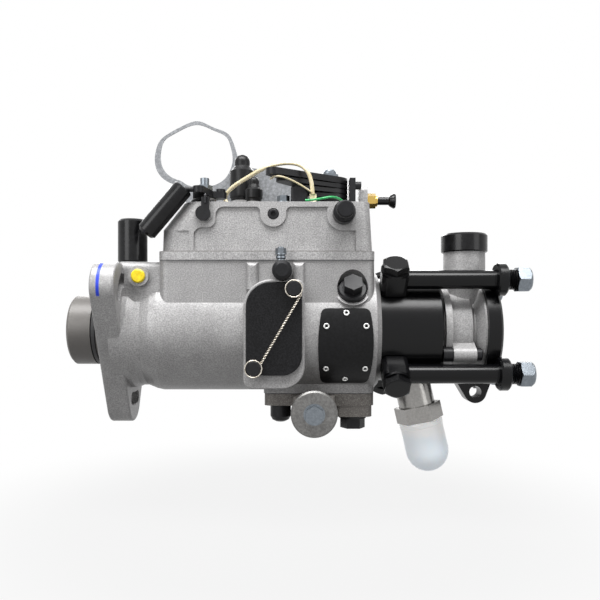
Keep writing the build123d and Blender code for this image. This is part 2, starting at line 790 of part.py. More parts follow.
def cover_screws():
    """Socket screws in the cover's side and the tall capped bolt at its rear."""
    solids = []
    for x, sink in zip(front_screw_x, (0.2, 1.2)):
        start = (x, sink - cover_side_y, front_screw_z)
        solids.append(turned([(0, -4), (front_screw_radius - 0.1, -4), (front_screw_radius - 0.1, 0.8),
                              (2.6, 1.2), (1.6, 1.2), (1.6, -0.6), (0, -0.6)], start=start,
                              direction=(0, -1, 0)))
    start = (cap_bolt_x, -cover_side_y, front_screw_z)
    bolt = turned([(0, 0), (6.8, 0), (6.8, 9.5), (6.0, 11), (5.2, 11.6), (5.2, cap_bolt_length - 1),
                   (4.4, cap_bolt_length), (0, cap_bolt_length)], start=start, direction=(0, -1, 0))
    solids.append(bolt)
    return group(*solids)


def cover_top_screws():
    """Zinc hexagon screws in the cover's top."""
    screws = []
    for y in (-top_screw_y, top_screw_y):
        screw = rod(top_screw_radius, (top_screw_x, y, cover_top_z - 3), (top_screw_x, y, cover_top_z + 1))
        screw += rod(4.2, (top_screw_x, y, cover_top_z), (top_screw_x, y, cover_top_z + 1))
        screw += hex_bar(6.8, (top_screw_x, y, cover_top_z + 1), (top_screw_x, y, cover_top_z + 4.6))
        screws.append(screw)
    return group(*screws)


def screw_caps():
    """Rubber caps with a domed nipple over the speed screw and the idle screw."""
    solids = []
    for x, y, radius, seat_z, body_height, nose in (
            (speed_cap_x, speed_cap_y, speed_cap_radius, speed_seat_z, 22.0, 5.4),
            (idle_cap_x, idle_cap_y, idle_cap_radius, idle_seat_z, 9.5, 3.6)):
        dome_z = body_height + 2.2 + nose * 0.5
        cap = turned([(0, 0), (radius - 0.8, 0), (radius - 0.8, 1.6), (radius, 2.6),
                      (radius, body_height - 1.5),
                      (radius - 1.5, body_height), (nose, body_height + 2.2), (nose, dome_z), (0, dome_z)],
                     start=(x, y, seat_z))
        solids.append(cap + Pos(x, y, seat_z + dome_z) * Sphere(nose))
    return group(*solids)


def brass_fitting():
    """Brass hexagon fitting in the rear lug."""
    end = rear_lug_x + brass_length
    fitting = rod(2.9, (rear_lug_x - 4.5, 0, rear_lug_z), (rear_lug_x + 1, 0, rear_lug_z))
    fitting += hex_bar(2 * brass_radius - 0.6, (rear_lug_x, 0, rear_lug_z), (end - 1.2, 0, rear_lug_z))
    fitting += rod(brass_radius - 0.9, (end - 1.4, 0, rear_lug_z), (end, 0, rear_lug_z))
    return fitting


def fitting_plug():
    """Black mushroom plug in the brass fitting's mouth."""
    return turned([(0, 0), (2.7, 0), (2.7, 7.6), (3.6, 8.3), (4.4, 9.6), (5.1, 11.0), (4.8, 12.1),
                   (0, 12.1)],
                  start=(rear_lug_x + brass_length, 0, rear_lug_z), direction=(1, 0, 0))


def grip_direction():
    slope = math.radians(grip_slope)
    return Vector(-math.cos(slope), 0, -math.sin(slope))


def stop_lever():
    """Plate lever with a short arm to the rear and a round tail under the grip."""
    lever = hull_plate([(stop_shaft_x, stop_shaft_y, stop_hub_radius),
                        (stop_shaft_x + stop_arm_length, stop_shaft_y - 1, 3.8)],
                       stop_lever_z, stop_lever_thickness)
    lever += hull_plate([(stop_shaft_x, stop_shaft_y, stop_hub_radius),
                         (grip_top_x + 9, grip_y, 3.4)], stop_lever_z, stop_lever_thickness)
    tail_z = stop_lever_z + stop_lever_thickness / 2
    lever += rod(tail_radius, (grip_top_x + 9, grip_y, tail_z), (grip_top_x - 6, grip_y, tail_z))
    lever += rod(3.0, (stop_shaft_x + stop_arm_length, stop_shaft_y - 1, stop_lever_z),
                 (stop_shaft_x + stop_arm_length, stop_shaft_y - 1, stop_lever_z + stop_pin_length))
    lever -= rod(stop_shaft_radius, (stop_shaft_x, stop_shaft_y, stop_lever_z - 1),
                 (stop_shaft_x, stop_shaft_y, stop_lever_z + 6))
    return lever


def stop_lever_grip():
    """Long black sleeve moulded on the lever's tail, lying along the cover's shoulder."""
    grip = turned([(0, 0), (grip_radius - 0.9, 0), (grip_radius, 0.9), (grip_radius, grip_length - 1.6),
                   (grip_radius - 1.6, grip_length), (0, grip_length)],
                  start=(grip_top_x, grip_y, grip_top_z), direction=grip_direction())
    tail_z = stop_lever_z + stop_lever_thickness / 2
    return grip - rod(tail_radius, (grip_top_x + 9, grip_y, tail_z), (grip_top_x - 6, grip_y, tail_z))


def stop_shaft():
    """Stop lever's shaft with its washer and nut."""
    top = stop_lever_z + stop_lever_thickness
    shaft = rod(stop_shaft_radius, (stop_shaft_x, stop_shaft_y, cover_top_z - 8),
                (stop_shaft_x, stop_shaft_y, top))
    shaft += rod(2.9, (stop_shaft_x, stop_shaft_y, top - 1), (stop_shaft_x, stop_shaft_y, top + 9.4))
    nut = rod(5.6, (stop_shaft_x, stop_shaft_y, top), (stop_shaft_x, stop_shaft_y, top + 1))
    nut += hex_bar(9, (stop_shaft_x, stop_shaft_y, top + 1), (stop_shaft_x, stop_shaft_y, top + 4.6))
    return shaft + nut


def throttle_tip():
    turn = math.radians(throttle_arm_angle)
    return (throttle_shaft_x + throttle_arm_length * math.cos(turn),
            throttle_shaft_y + throttle_arm_length * math.sin(turn))


def throttle_lever():
    """Stack of plates on one drum, each shorter than the one above; the top one takes the ball stud."""
    tip_x, tip_y = throttle_tip()
    hub = (throttle_shaft_x, throttle_shaft_y, throttle_drum_radius)
    upper_z = throttle_top_z - throttle_arm_thickness
    lever = hull_plate([hub, (tip_x, tip_y, 4.8)], upper_z, throttle_arm_thickness)
    for step, share in enumerate(throttle_plate_shares, start=1):
        end_x = throttle_shaft_x + (tip_x - throttle_shaft_x) * share
        end_y = throttle_shaft_y + (tip_y - throttle_shaft_y) * share
        lever += hull_plate([hub, (end_x, end_y, 4.4)], upper_z - step * throttle_plate_pitch,
                            throttle_plate_thickness)
    lever += rod(throttle_drum_radius - 0.8, (throttle_shaft_x, throttle_shaft_y, cover_top_z + 4.3),
                 (throttle_shaft_x, throttle_shaft_y, upper_z + 1))
    lever -= rod(ball_stud_hole_radius, (tip_x, tip_y, upper_z - 1), (tip_x, tip_y, throttle_top_z + 1))
    lever -= rod(throttle_shaft_radius, (throttle_shaft_x, throttle_shaft_y, cover_top_z),
                 (throttle_shaft_x, throttle_shaft_y, throttle_top_z + 1))
    return lever


def throttle_shaft():
    """Throttle shaft with its domed nut."""
    place = (throttle_shaft_x, throttle_shaft_y, throttle_top_z)
    shaft = rod(throttle_shaft_radius, (throttle_shaft_x, throttle_shaft_y, cover_top_z - 8), place)
    nut = hex_bar(10, place, (throttle_shaft_x, throttle_shaft_y, throttle_top_z + 3.6))
    nut += turned([(0, 0), (4.6, 0), (4.4, 1.6), (3.4, 3.0), (1.8, 3.8), (0, 4.0)],
                  start=(throttle_shaft_x, throttle_shaft_y, throttle_top_z + 3.5))
    return shaft + nut


def control_brackets():
    """Spring anchor at the stop lever, stop block under the arm, and the stop screw's bracket."""
    x = front_screw_x[0]
    left = x + anchor_offset - anchor_half_width
    right = x + anchor_offset + anchor_half_width
    near = -cover_side_y - 3.2
    anchor = block((left, near, front_screw_z), (right, near + 1.8, cover_top_z + 2.4))
    anchor += block((left, near, cover_top_z + 0.3), (right, 4 - cover_side_y, cover_top_z + 2.4))
    anchor += rod(4.6, (x, near + 1.8, front_screw_z), (x, near, front_screw_z))
    anchor += block((left, 2 - cover_side_y, cover_top_z), (right, 4 - cover_side_y, cover_top_z + 0.5))
    tip_x, tip_y = throttle_tip()
    plates_z = throttle_top_z - throttle_arm_thickness - 2 * throttle_plate_pitch
    stop = block((tip_x + 10.8, tip_y + 2, cover_top_z), (tip_x + 21.2, tip_y + 14, plates_z - 0.6))
    stop = fillet(stop.edges().filter_by(Axis.Z), 1.5)
    outer = throttle_shaft_x + throttle_drum_radius
    bracket = block((outer - 1.6, -8, cover_top_z), (outer + 4.4, 8, cover_top_z + 2.4))
    bracket += block((outer + 0.5, -12, cover_top_z), (outer + 4.4, 8, throttle_top_z - 1.0))
    screw_z = throttle_top_z - 5.7
    bracket += rod(2.6, (outer + 0.5, -9.4, screw_z), (outer + 8.2, -9.4, screw_z))
    return group(anchor, stop, bracket)


def cable_tie():
    """Nylon tie that holds the levers for transport: head on the cover, strap in a high loop."""
    low = cover_top_z + tie_radius + 0.05
    route = [(133.8, -31.0, low + 2.2), (133.4, -31.6, 93.0), (127.4, -30.6, 103.2), (118.6, -27.0, 106.2),
             (104.6, -24.0, 104.4), (94.6, -16.5, 100.6), (78.6, -6.0, 93.4), (75.0, -3.4, 86.0),
             (82.0, -8.5, low), (104.0, -13.2, low), (126.0, -14.4, low), (134.6, -18.6, low),
             (134.4, -29.6, low)]
    radii = tie_radii(route)
    print("cable tie radii", [round(radius, 1) for radius in radii])
    path = FilletPolyline(*route, radius=radii)
    strap = sweep(Plane(origin=path @ 0, z_dir=path % 0) * Circle(tie_radius), path=path)
    head = fillet(block((131.6, -33.4, cover_top_z + 0.05), (136.4, -28.8, cover_top_z + 5.6)).edges(), 0.8)
    return head + strap


def tie_radii(route):
    """Arc radius at each corner from its shorter run and its turn."""
    radii = []
    for before, here, after in zip(route, route[1:], route[2:]):
        first = Vector(*here) - Vector(*before)
        second = Vector(*after) - Vector(*here)
        half_turn = math.radians(first.get_angle(second)) / 2
        radii.append(0.45 * min(first.length, second.length) / math.tan(half_turn))
    return radii


def green_wire():
    """Short end of insulated wire that lies on the cover beside the tie's head."""
    low = cover_top_z + wire_radius + 0.2
    route = [(129.0, -34.9, low - 0.1), (134.0, -34.75, low + 0.15), (140.0, -34.6, low + 1.25),
             (146.0, -33.0, low + 2.65), (151.0, -27.5, low + 2.25), (155.0, -19.5, low + 0.65),
             (156.5, -12.5, low)]
    radii = tie_radii(route)
    print("green wire radii", [round(radius, 1) for radius in radii])
    path = FilletPolyline(*route, radius=radii)
    return sweep(Plane(origin=path @ 0, z_dir=path % 0) * Circle(wire_radius), path=path)


def mounting_gasket():
    """Spare flange gasket of fibre sheet: a ring for the pilot and a lobe, standing on the cover."""
    foot_front, foot_rear = spare_ring_outline[0], spare_ring_outline[-1]
    edge = Spline(*spare_ring_outline)
    rim = Polyline(foot_rear, *spare_lobe_outline, (spare_foot_rear_x, cover_top_z),
                   (spare_foot_front_x, cover_top_z), foot_front)
    window = make_face(Spline(*spare_ring_hole, periodic=True))
    sheet = make_face(edge + rim.edges()) - window
    near = -(speed_cap_y + speed_cap_radius + 0.1)
    return extrude(Plane.XZ.offset(near) * sheet, amount=-spare_gasket_thickness)


# Advance unit under the barrel


def advance_housing():
    """Cast flange and cross cylinder for the advance piston."""
    top = advance_flange_top_z
    plate = block((advance_pad_front_x + 0.5, -advance_pad_half_width, advance_flange_z),
                  (advance_pad_rear_x, advance_pad_half_width, top))
    body = fillet(plate.edges().filter_by(Axis.Z), 5)
    step = block((advance_x + 13, 1 - advance_pad_half_width, advance_z - 5.2),
                 (advance_pad_rear_x - 1, advance_pad_half_width - 1, top))
    body += fillet(step.edges().filter_by(Axis.Z), 5)
    body += rod(advance_bore + advance_wall, (advance_x, -advance_half_length, advance_z),
                (advance_x, advance_half_length, advance_z))
    saddle = block((advance_x - 13, -advance_half_length + 2, advance_z),
                   (advance_x + 13, advance_half_length - 2, top))
    body += fillet(saddle.edges().filter_by(Axis.Z), 2)
    body -= block((advance_x - 20, -advance_half_length - 1, top),
                  (advance_x + 20, advance_half_length + 1, top + 9))
    body -= rod(advance_bore, (advance_x, -advance_half_length - 1, advance_z),
                (advance_x, advance_half_length + 1, advance_z))
    body -= block((advance_x - stud_slot_half_width, -9, advance_z),
                  (advance_x + stud_slot_half_width, 9, top + 1))
    for x, y in advance_bolt_places:
        body -= rod(advance_bolt_radius, (x, y, advance_z - 20), (x, y, top + 1))
    return body


def advance_plugs():
    """Round end plugs of the cross cylinder with a hexagon behind each disc."""
    plugs = []
    for side in (-1, 1):
        seat = side * advance_half_length
        plug = turned([(0, -5), (advance_bore - 0.05, -5), (advance_bore - 0.05, 0),
                       (advance_plug_radius - 2.4, 0),
                       (advance_plug_radius - 2.4, 2.6), (advance_plug_radius, 2.6),
                       (advance_plug_radius, advance_plug_length - 1),
                       (advance_plug_radius - 1, advance_plug_length),
                       (0, advance_plug_length)], start=(advance_x, seat, advance_z),
                       direction=(0, side, 0))
        plug += hex_bar(22, (advance_x, seat, advance_z), (advance_x, seat + side * 2.6, advance_z))
        plugs.append(plug)
    return group(*plugs)


def advance_adjust_screw():
    """Zinc hexagon screw in the near plug."""
    face = -advance_half_length - advance_plug_length
    screw = rod(6.6, (advance_x, face, advance_z), (advance_x, face - 0.8, advance_z))
    screw += hex_bar(10, (advance_x, face - 0.8, advance_z), (advance_x, face - 4.6, advance_z))
    return screw


def advance_bolts():
    """Cap nut at the front and hexagon bolt at the rear of the advance unit."""
    (front_x, front_y), (rear_x, rear_y) = advance_bolt_places
    seat = advance_flange_z
    cap = turned([(0, 14.5), (advance_bolt_radius - 0.05, 14.5), (advance_bolt_radius - 0.05, 0), (6.7, 0),
                  (6.7, -7.4), (5.4, -9.8), (3.0, -11), (0, -11)], start=(front_x, front_y, seat))
    rear_seat = advance_z - 5.2
    bolt = rod(advance_bolt_radius - 0.05, (rear_x, rear_y, rear_seat), (rear_x, rear_y, rear_seat + 21))
    bolt += rod(8.8, (rear_x, rear_y, rear_seat), (rear_x, rear_y, rear_seat - 1.6))
    bolt += hex_bar(14, (rear_x, rear_y, rear_seat - 1.5), (rear_x, rear_y, rear_seat - 8))
    return group(cap, bolt)


def advance_piston():
    """Piston turned by oil pressure, with a cross hole for the cam ring's ball."""
    half = advance_piston_length / 2
    piston = turned([(0, -half), (advance_bore - 1, -half), (advance_bore - running_clearance, 1 - half),
                     (advance_bore - running_clearance, half - 1), (advance_bore - 1, half), (0, half)],
                    start=(advance_x, 0, advance_z), direction=(0, 1, 0))
    return piston - rod(cam_ball_radius + 0.15, (advance_x, 0, advance_z - 5),
                        (advance_x, 0, advance_z + advance_bore + 1))


# Hydraulic head, delivery pipes and rear support


def hydraulic_head():
    """Steel head with the rotor bore, the metering valve bore and four outlet drillings."""
    body = turned([(0, head_front_x), (head_radius - 1, head_front_x), (head_radius, head_front_x + 1),
                   (head_radius, head_rear_x - 1), (head_radius - 1, head_rear_x), (0, head_rear_x)],
                  direction=(1, 0, 0))
    body -= rod(shaft_radius + running_clearance, (head_front_x - 1, 0, 0), (head_rear_x + 1, 0, 0))
    body -= rod(valve_radius + running_clearance, (valve_x, valve_y, 16),
                (valve_x, valve_y, head_radius + 1))
    body -= rod(locating_radius, radial(locating_angle, head_radius - 4, locating_x),
                radial(locating_angle, head_radius + 1, locating_x))
    for angle in pipe_angles:
        body -= rod(banjo_bolt_radius, radial(angle, head_radius - 10, banjo_x),
                    radial(angle, head_radius + 1, banjo_x))
    return body


def delivery_pipe(angle):
    """Forged banjo eye on the head with a straight pipe to the rear and a threaded end."""
    seat = Plane(origin=radial(angle, head_radius, banjo_x), x_dir=(1, 0, 0), z_dir=radial(angle, 1, 0))
    eye = extrude(seat * RectangleRounded(eye_length, eye_width, eye_corner), amount=eye_height)
    thread_x = ear_front_x - 1.5
    pipe = rod(pipe_radius, radial(angle, pipe_circle_radius, banjo_x),
               radial(angle, pipe_circle_radius, thread_x))
    pipe += rod(pipe_thread_radius, radial(angle, pipe_circle_radius, thread_x),
                radial(angle, pipe_circle_radius, pipe_end_x))
    pipe += eye
    pipe -= rod(banjo_bolt_radius + 0.1, radial(angle, head_radius - 1, banjo_x),
                radial(angle, eye_top_radius + 1, banjo_x))
    return pipe - rod(pipe_bore_radius, radial(angle, pipe_circle_radius, banjo_x),
                      radial(angle, pipe_circle_radius, pipe_end_x + 1))


def banjo_bolts():
    """Four radial bolts with a collar and a hexagon head."""
    bolts = []
    for angle in pipe_angles:
        collar_end = eye_top_radius + banjo_collar_height
        bolt = rod(banjo_bolt_radius - 0.05, radial(angle, head_radius - 9, banjo_x),
                   radial(angle, eye_top_radius, banjo_x))
        bolt += rod(banjo_collar_radius, radial(angle, eye_top_radius, banjo_x),
                    radial(angle, collar_end, banjo_x))
        head = hex_bar(banjo_head_flats, radial(angle, collar_end - 0.1, banjo_x),
                       radial(angle, collar_end + banjo_head_height, banjo_x))
        crown = turned([(0, 0), (banjo_collar_radius, 0), (banjo_collar_radius, banjo_head_height - 0.9),
                        (banjo_head_flats / 2 - 0.5, banjo_head_height), (0, banjo_head_height)],
                       start=radial(angle, collar_end, banjo_x), direction=radial(angle, 1, 0))
        crown += rod(banjo_head_flats / 2 - 1, radial(angle, collar_end - 0.1, banjo_x),
                     radial(angle, collar_end, banjo_x))
        bolts.append(bolt + (head & crown))
    return group(*bolts)


def outlet_nuts():
    """Four zinc nuts on the pipes' threaded ends, one flat turned to the viewed side."""
    corner = nut_flats / 2 / math.cos(math.radians(30))
    nuts = []
    for angle in pipe_angles:
        start = radial(angle, pipe_circle_radius, nut_start_x)
        end = radial(angle, pipe_circle_radius, nut_start_x + nut_length)
        nut = hex_bar(nut_flats, start, end, turn=30)
        nut &= turned([(0, 0), (corner - 0.9, 0), (corner, 0.6), (corner, nut_length - 2.2),
                       (nut_flats / 2 - 0.6, nut_length), (0, nut_length)], start=start,
                       direction=(1, 0, 0))
        bore_end = radial(angle, pipe_circle_radius, pipe_end_x + 0.3)
        nuts.append(nut - rod(pipe_thread_radius + running_clearance, start, bore_end))
    return group(*nuts)


def support_ring():
    """Ring behind the end plate with an ear round each pipe and a stay lug below."""
    body = turned([(ring_inner_radius, ring_front_x), (ring_outer_radius, ring_front_x),
                   (ring_outer_radius, ring_rear_x - 1.5), (ring_outer_radius - 1.5, ring_rear_x),
                   (ring_inner_radius, ring_rear_x)], direction=(1, 0, 0))
    for angle in pipe_angles:
        ear = turned([(0, 0), (ear_radius - 1, 0), (ear_radius, 1), (ear_radius, ear_length - 1),
                      (ear_radius - 1, ear_length), (0, ear_length)],
                     start=radial(angle, pipe_circle_radius, ear_front_x), direction=(1, 0, 0))
        body += ear
    low = -ring_outer_radius - ring_lug_drop
    top = -ring_outer_radius
    lug = hull_outline([(ring_lug_x, low, ring_lug_radius), (ring_lug_x - ring_lug_reach, top - 0.2, 1.6),
                        (ring_rear_x - 1.6, top, 1.6)])
    body += extrude(Plane.XZ * lug, amount=ring_lug_half_width, both=True)
    body -= rod(ring_inner_radius, (ring_front_x - 1, 0, 0), (ring_rear_x + 1, 0, 0))
    body -= rod(ring_lug_hole, (ring_lug_x, -ring_lug_half_width - 1, low),
                (ring_lug_x, ring_lug_half_width + 1, low))
    for angle in pipe_angles:
        body -= rod(pipe_thread_radius + running_clearance,
                    radial(angle, pipe_circle_radius, ring_front_x - 1),
                    radial(angle, pipe_circle_radius, ear_rear_x + 1))
    return body


def end_plate():
    """Cast end plate: register, bright flange, transfer pump bore, screw lugs, dished disc and inlet boss."""
    x0 = end_plate_front_x
    flange_x = x0 + end_register_length
    body_x = flange_x + end_face_thickness
    disc_x = ring_front_x - end_disc_depth
    body = turned([(0, x0), (end_register_radius, x0), (end_register_radius, flange_x),
                   (end_face_radius, flange_x),
                   (end_face_radius, body_x), (end_plate_radius, body_x + 1),
                   (end_plate_radius, disc_x - 3),
                   (end_disc_neck_radius, disc_x - 1), (end_disc_neck_radius, disc_x),
                   (end_disc_radius, ring_front_x - 1.2), (end_disc_radius, ring_front_x - 0.1),
                   (0, ring_front_x - 0.1)], direction=(1, 0, 0))
    lug_end = body_x + end_lug_length
    for angle in end_screw_angles:
        _, y, z = radial(angle, end_screw_circle, 0)
        lug = hull_outline([(y, z, end_lug_radius), (y * 0.7, z * 0.7, end_lug_radius)])
        body += extrude(Plane.YZ.offset(body_x) * lug, amount=end_lug_length)
    boss = turned([(0, 0), (inlet_boss_radius - 2, 0), (inlet_boss_radius, 12),
                   (inlet_boss_radius, inlet_boss_top_z - 16), (0, inlet_boss_top_z - 16)],
                  start=(inlet_x, inlet_y, 16))
    body += boss
    body -= rod(inlet_thread_radius, (inlet_x, inlet_y, inlet_boss_top_z - inlet_depth),
                (inlet_x, inlet_y, inlet_boss_top_z + 1))
    body -= rod(transfer_bore_radius, (x0 - 1, 0, transfer_offset),
                (transfer_front_x + transfer_width + 0.4, 0, transfer_offset))
    body -= rod(ring_outer_radius + 0.4, (ring_front_x - 0.1, 0, 0), (ear_rear_x, 0, 0))
    for angle in end_screw_angles:
        body -= rod(end_collar_radius + 0.1, radial(angle, end_screw_circle, x0 - 1),
                    radial(angle, end_screw_circle, body_x))
        body -= rod(end_stud_radius + 0.1, radial(angle, end_screw_circle, x0),
                    radial(angle, end_screw_circle, lug_end + 1))
        body -= rod(end_screw_head_radius + 0.4, radial(angle, end_screw_circle, lug_end),
                    radial(angle, end_screw_circle, lug_end + end_screw_head_length + 0.5))
    return body


def end_plate_screws():
    """Black shouldered studs: a collar against the head, a shank through the lug and a round head."""
    collar_end = end_register_length + end_face_thickness - 0.1
    seat = end_register_length + end_face_thickness + end_lug_length + 0.1
    end = seat + end_screw_head_length
    screws = []
    for angle in end_screw_angles:
        screws.append(turned([(0, 0), (end_collar_radius, 0), (end_collar_radius, collar_end),
                              (end_stud_radius, collar_end), (end_stud_radius, seat),
                              (end_screw_head_radius, seat), (end_screw_head_radius, end - 0.6),
                              (end_screw_head_radius - 0.6, end), (0, end)],
                             start=radial(angle, end_screw_circle, end_plate_front_x), direction=(1, 0, 0)))
    return group(*screws)


def inlet_cap():
    """Black cap that closes the fuel inlet."""
    inner = inlet_boss_radius + 0.05
    return turned([(0, inlet_cap_skirt), (inner, inlet_cap_skirt), (inner, 0.4),
                   (inlet_cap_radius - 0.5, 0.4), (inlet_cap_radius, 1.0),
                   (inlet_cap_radius, inlet_cap_height - 1.2), (inlet_cap_radius - 1.2, inlet_cap_height),
                   (0, inlet_cap_height)],
                  start=(inlet_x, inlet_y, inlet_boss_top_z - inlet_cap_skirt + 0.1))


def union_axis():
    tilt = math.radians(union_tilt)
    return Vector(math.sin(tilt), 0, -math.cos(tilt))


def drain_union():
    """Nickel plated union: body against the head, hexagon collar and a nose under the cap."""
    axis = union_axis()
    centre = Vector(union_x, 0, union_z)
    hex_start = centre - axis * (union_hex_height / 2)
    hex_end = centre + axis * (union_hex_height / 2)
    to_head = (union_z * -1 - head_radius + 6) / math.cos(math.radians(union_tilt))
    top = centre - axis * to_head
    body = rod(union_body_radius, top, centre)
    body -= rod(head_radius + running_clearance, (head_front_x, 0, 0), (head_rear_x + 20, 0, 0))
    body += hex_bar(union_hex_flats, hex_start, hex_end, turn=12)
    body += rod(union_nose_radius, centre, hex_end + axis * union_nose_length)
    body -= rod(union_bore_radius, centre, hex_end + axis * (union_nose_length + 1))
    return body


def union_cap():
    """Translucent domed cap pushed over the union's nose."""
    axis = union_axis()
    seat = Vector(union_x, 0, union_z) + axis * (union_hex_height / 2 + 0.1)
    dome_centre = seat + axis * (union_cap_length - union_cap_radius + 8)
    cap = turned([(0, 0), (union_cap_radius - 0.4, 0), (union_cap_radius, 1.2), (union_cap_radius, 3.2),
                  (union_cap_radius - 0.3, 3.8),
                  (union_cap_radius - 0.3, union_cap_length - union_cap_radius + 8),
                  (0, union_cap_length - union_cap_radius + 8)], start=seat, direction=axis)
    cap += Pos(*dome_centre) * Sphere(union_cap_radius - 0.3)
    return cap - rod(union_nose_radius + 0.1, seat - axis, seat + axis * (union_nose_length + 0.6))


# Drive line and mechanical governor


def drive_shaft():
    """Drive shaft with a splined socket at the front and a driving tongue at the rear."""
    hub_rear = cam_box_start_x - 0.5
    shaft = turned([(0, shaft_front_x), (shaft_hub_radius - 1, shaft_front_x),
                    (shaft_hub_radius, shaft_front_x + 1),
                    (shaft_hub_radius, hub_rear), (shaft_radius, hub_rear), (shaft_radius, tongue_start_x),
                    (0, tongue_start_x)], direction=(1, 0, 0))
    shaft += block((tongue_start_x - 1, -tongue_width / 2, 0.5 - shaft_radius),
                   (tongue_start_x + tongue_length, tongue_width / 2, shaft_radius - 0.5))
    shaft -= rod(socket_radius, (shaft_front_x - 1, 0, 0), (shaft_front_x + socket_depth, 0, 0))
    shaft -= rod(socket_radius + spline_depth, (shaft_front_x - 1, 0, 0),
                 (shaft_front_x + socket_mouth_depth, 0, 0))
    tooth = block((shaft_front_x + socket_mouth_depth - 1, -spline_width / 2, socket_radius - 1),
                  (shaft_front_x + socket_depth, spline_width / 2, socket_radius + spline_depth))
    for index in range(spline_count):
        shaft -= Rot(index * 360 / spline_count, 0, 0) * tooth
    return shaft


def shaft_bush():
    """Bearing bush of the drive shaft, pressed into the housing."""
    return turned([(shaft_hub_radius + running_clearance, bush_front_x + 0.2),
                   (bush_radius, bush_front_x + 0.2),
                   (bush_radius, cam_box_start_x - 1),
                   (shaft_hub_radius + running_clearance, cam_box_start_x - 1)],
                  direction=(1, 0, 0))


def governor_cage():
    """Weight retainer pressed on the shaft: disc with a post between each two weights."""
    cage = turned([(shaft_radius, cage_x), (cage_radius, cage_x), (cage_radius, cage_x + cage_thickness),
                   (shaft_radius, cage_x + cage_thickness)], direction=(1, 0, 0))
    post = block((cage_x + 1, -2.5, 20), (cage_x + cage_thickness + weight_length, 2.5, cage_radius - 0.5))
    for index in range(weight_count):
        cage += Rot((index + 0.5) * 360 / weight_count, 0, 0) * post
    return cage


def governor_weight(index):
    """Flyweight with a toe that pushes the sleeve."""
    front = weight_pivot_x + 3
    body = block((front - 4, -weight_width / 2, weight_inner_radius),
                 (front - 4 + weight_length, weight_width / 2, weight_outer_radius))
    body = fillet(body.edges().filter_by(Axis.X).group_by(Axis.Z)[-1], 3)
    body += block((front - 4, -5, weight_inner_radius - 2.2), (front, 5, weight_inner_radius + 1))
    return Rot(index * 360 / weight_count, 0, 0) * body


def thrust_sleeve():
    """Sleeve on the shaft that carries the weights' push to the governor arm."""
    return turned([(shaft_radius + running_clearance, sleeve_front_x), (sleeve_radius, sleeve_front_x),
                   (sleeve_radius, sleeve_rear_x - 3), (sleeve_flange_radius, sleeve_rear_x - 3),
                   (sleeve_flange_radius, sleeve_rear_x),
                   (shaft_radius + running_clearance, sleeve_rear_x)],
                  direction=(1, 0, 0))


def governor_arm():
    """Forked arm that hangs astride the shaft and swings on the bracket's pin."""
    rear = arm_x + arm_thickness
    fork = shaft_radius + 0.8
    arm = block((arm_x, -arm_half_width, fork + 2), (rear, arm_half_width, link_z + 4))
    arm += block((arm_x, -fork - 3.4, fork), (rear, fork + 3.4, fork + 4.5))
    for side in (-1, 1):
        arm += block((arm_x, min(side * fork, side * (fork + 3.4)), -8),
                     (rear, max(side * fork, side * (fork + 3.4)), fork + 2))
        arm += rod(2.0, (arm_x - 2.1, side * (fork + 1.7), 0), (arm_x + 1, side * (fork + 1.7), 0))
    arm += rod(pivot_pin_radius + 2, (arm_x + arm_thickness / 2, -arm_half_width, arm_pivot_z),
               (arm_x + arm_thickness / 2, arm_half_width, arm_pivot_z))
    arm -= rod(pivot_pin_radius + running_clearance,
               (arm_x + arm_thickness / 2, -arm_half_width - 1, arm_pivot_z),
               (arm_x + arm_thickness / 2, arm_half_width + 1, arm_pivot_z))
    arm -= rod(link_radius + 0.8, (arm_x - 1, 0, link_z), (rear + 1, 0, link_z))
    return arm


def governor_bracket():
    """Strip on the chamber's ledges with two ears and the arm's pivot pin."""
    inner = chamber_half_width - chamber_wall - 0.2
    middle = arm_x + arm_thickness / 2
    strip = block((middle - 9, -inner, ledge_z), (middle + 9, inner, ledge_z + 2.2))
    strip -= block((middle - 5, -arm_half_width - 1, ledge_z - 1),
                   (middle + 5, arm_half_width + 1, ledge_z + 3))
    for side in (-1, 1):
        low = min(side * (arm_half_width + 1), side * (arm_half_width + 3.2))
        high = max(side * (arm_half_width + 1), side * (arm_half_width + 3.2))
        strip += block((middle - 5, low, arm_pivot_z - 4.5), (middle + 5, high, ledge_z + 1))
    strip += rod(pivot_pin_radius, (middle, -arm_half_width - 4, arm_pivot_z),
                 (middle, arm_half_width + 4, arm_pivot_z))
    return strip


def linkage_rod():
    """Rod from the governor arm to the metering valve, with a hook pin at its end."""
    front = arm_x - 5
    rear = arm_x + arm_thickness
    link = rod(link_radius, (front, 0, link_z), (valve_x, 0, link_z))
    link += rod(link_radius + 1.6, (front + 1, 0, link_z), (arm_x - 0.7, 0, link_z))
    link += rod(link_radius + 1.6, (rear + 0.7, 0, link_z), (rear + 2.4, 0, link_z))
    link += rod(1.0, (valve_x, 0, link_z), (valve_x, 0, link_z - 4.4))
    return link


def metering_valve():
    """Rotary valve in the head with a slotted arm on top."""
    arm_z = link_z - 3.6
    valve = rod(valve_radius, (valve_x, valve_y, 17), (valve_x, valve_y, arm_z))
    valve += hull_plate([(valve_x, valve_y, 4.2), (valve_x, 0, 3.2)], arm_z, 1.6)
    slot = hull_plate([(valve_x, -0.8, 1.3), (valve_x, 0.8, 1.3)], arm_z - 1, 4)
    return valve - slot


def cam_ring():
    """Cam ring with four internal lobes and the ball stud of the advance piston."""
    half = cam_width / 2
    lobes = Circle(cam_base_radius) & Rot(0, 0, 45) * Rectangle(2 * cam_lobe_radius, 2 * cam_lobe_radius)
    ring = Circle(cam_box_radius - 0.1) - lobes
    body = extrude(Plane.YZ.offset(advance_x - half) * ring, amount=cam_width)
    body += rod(cam_stud_radius, (advance_x, 0, 3 - cam_box_radius), (advance_x, 0, advance_z))
    body += Pos(advance_x, 0, advance_z) * Sphere(cam_ball_radius)
    return body


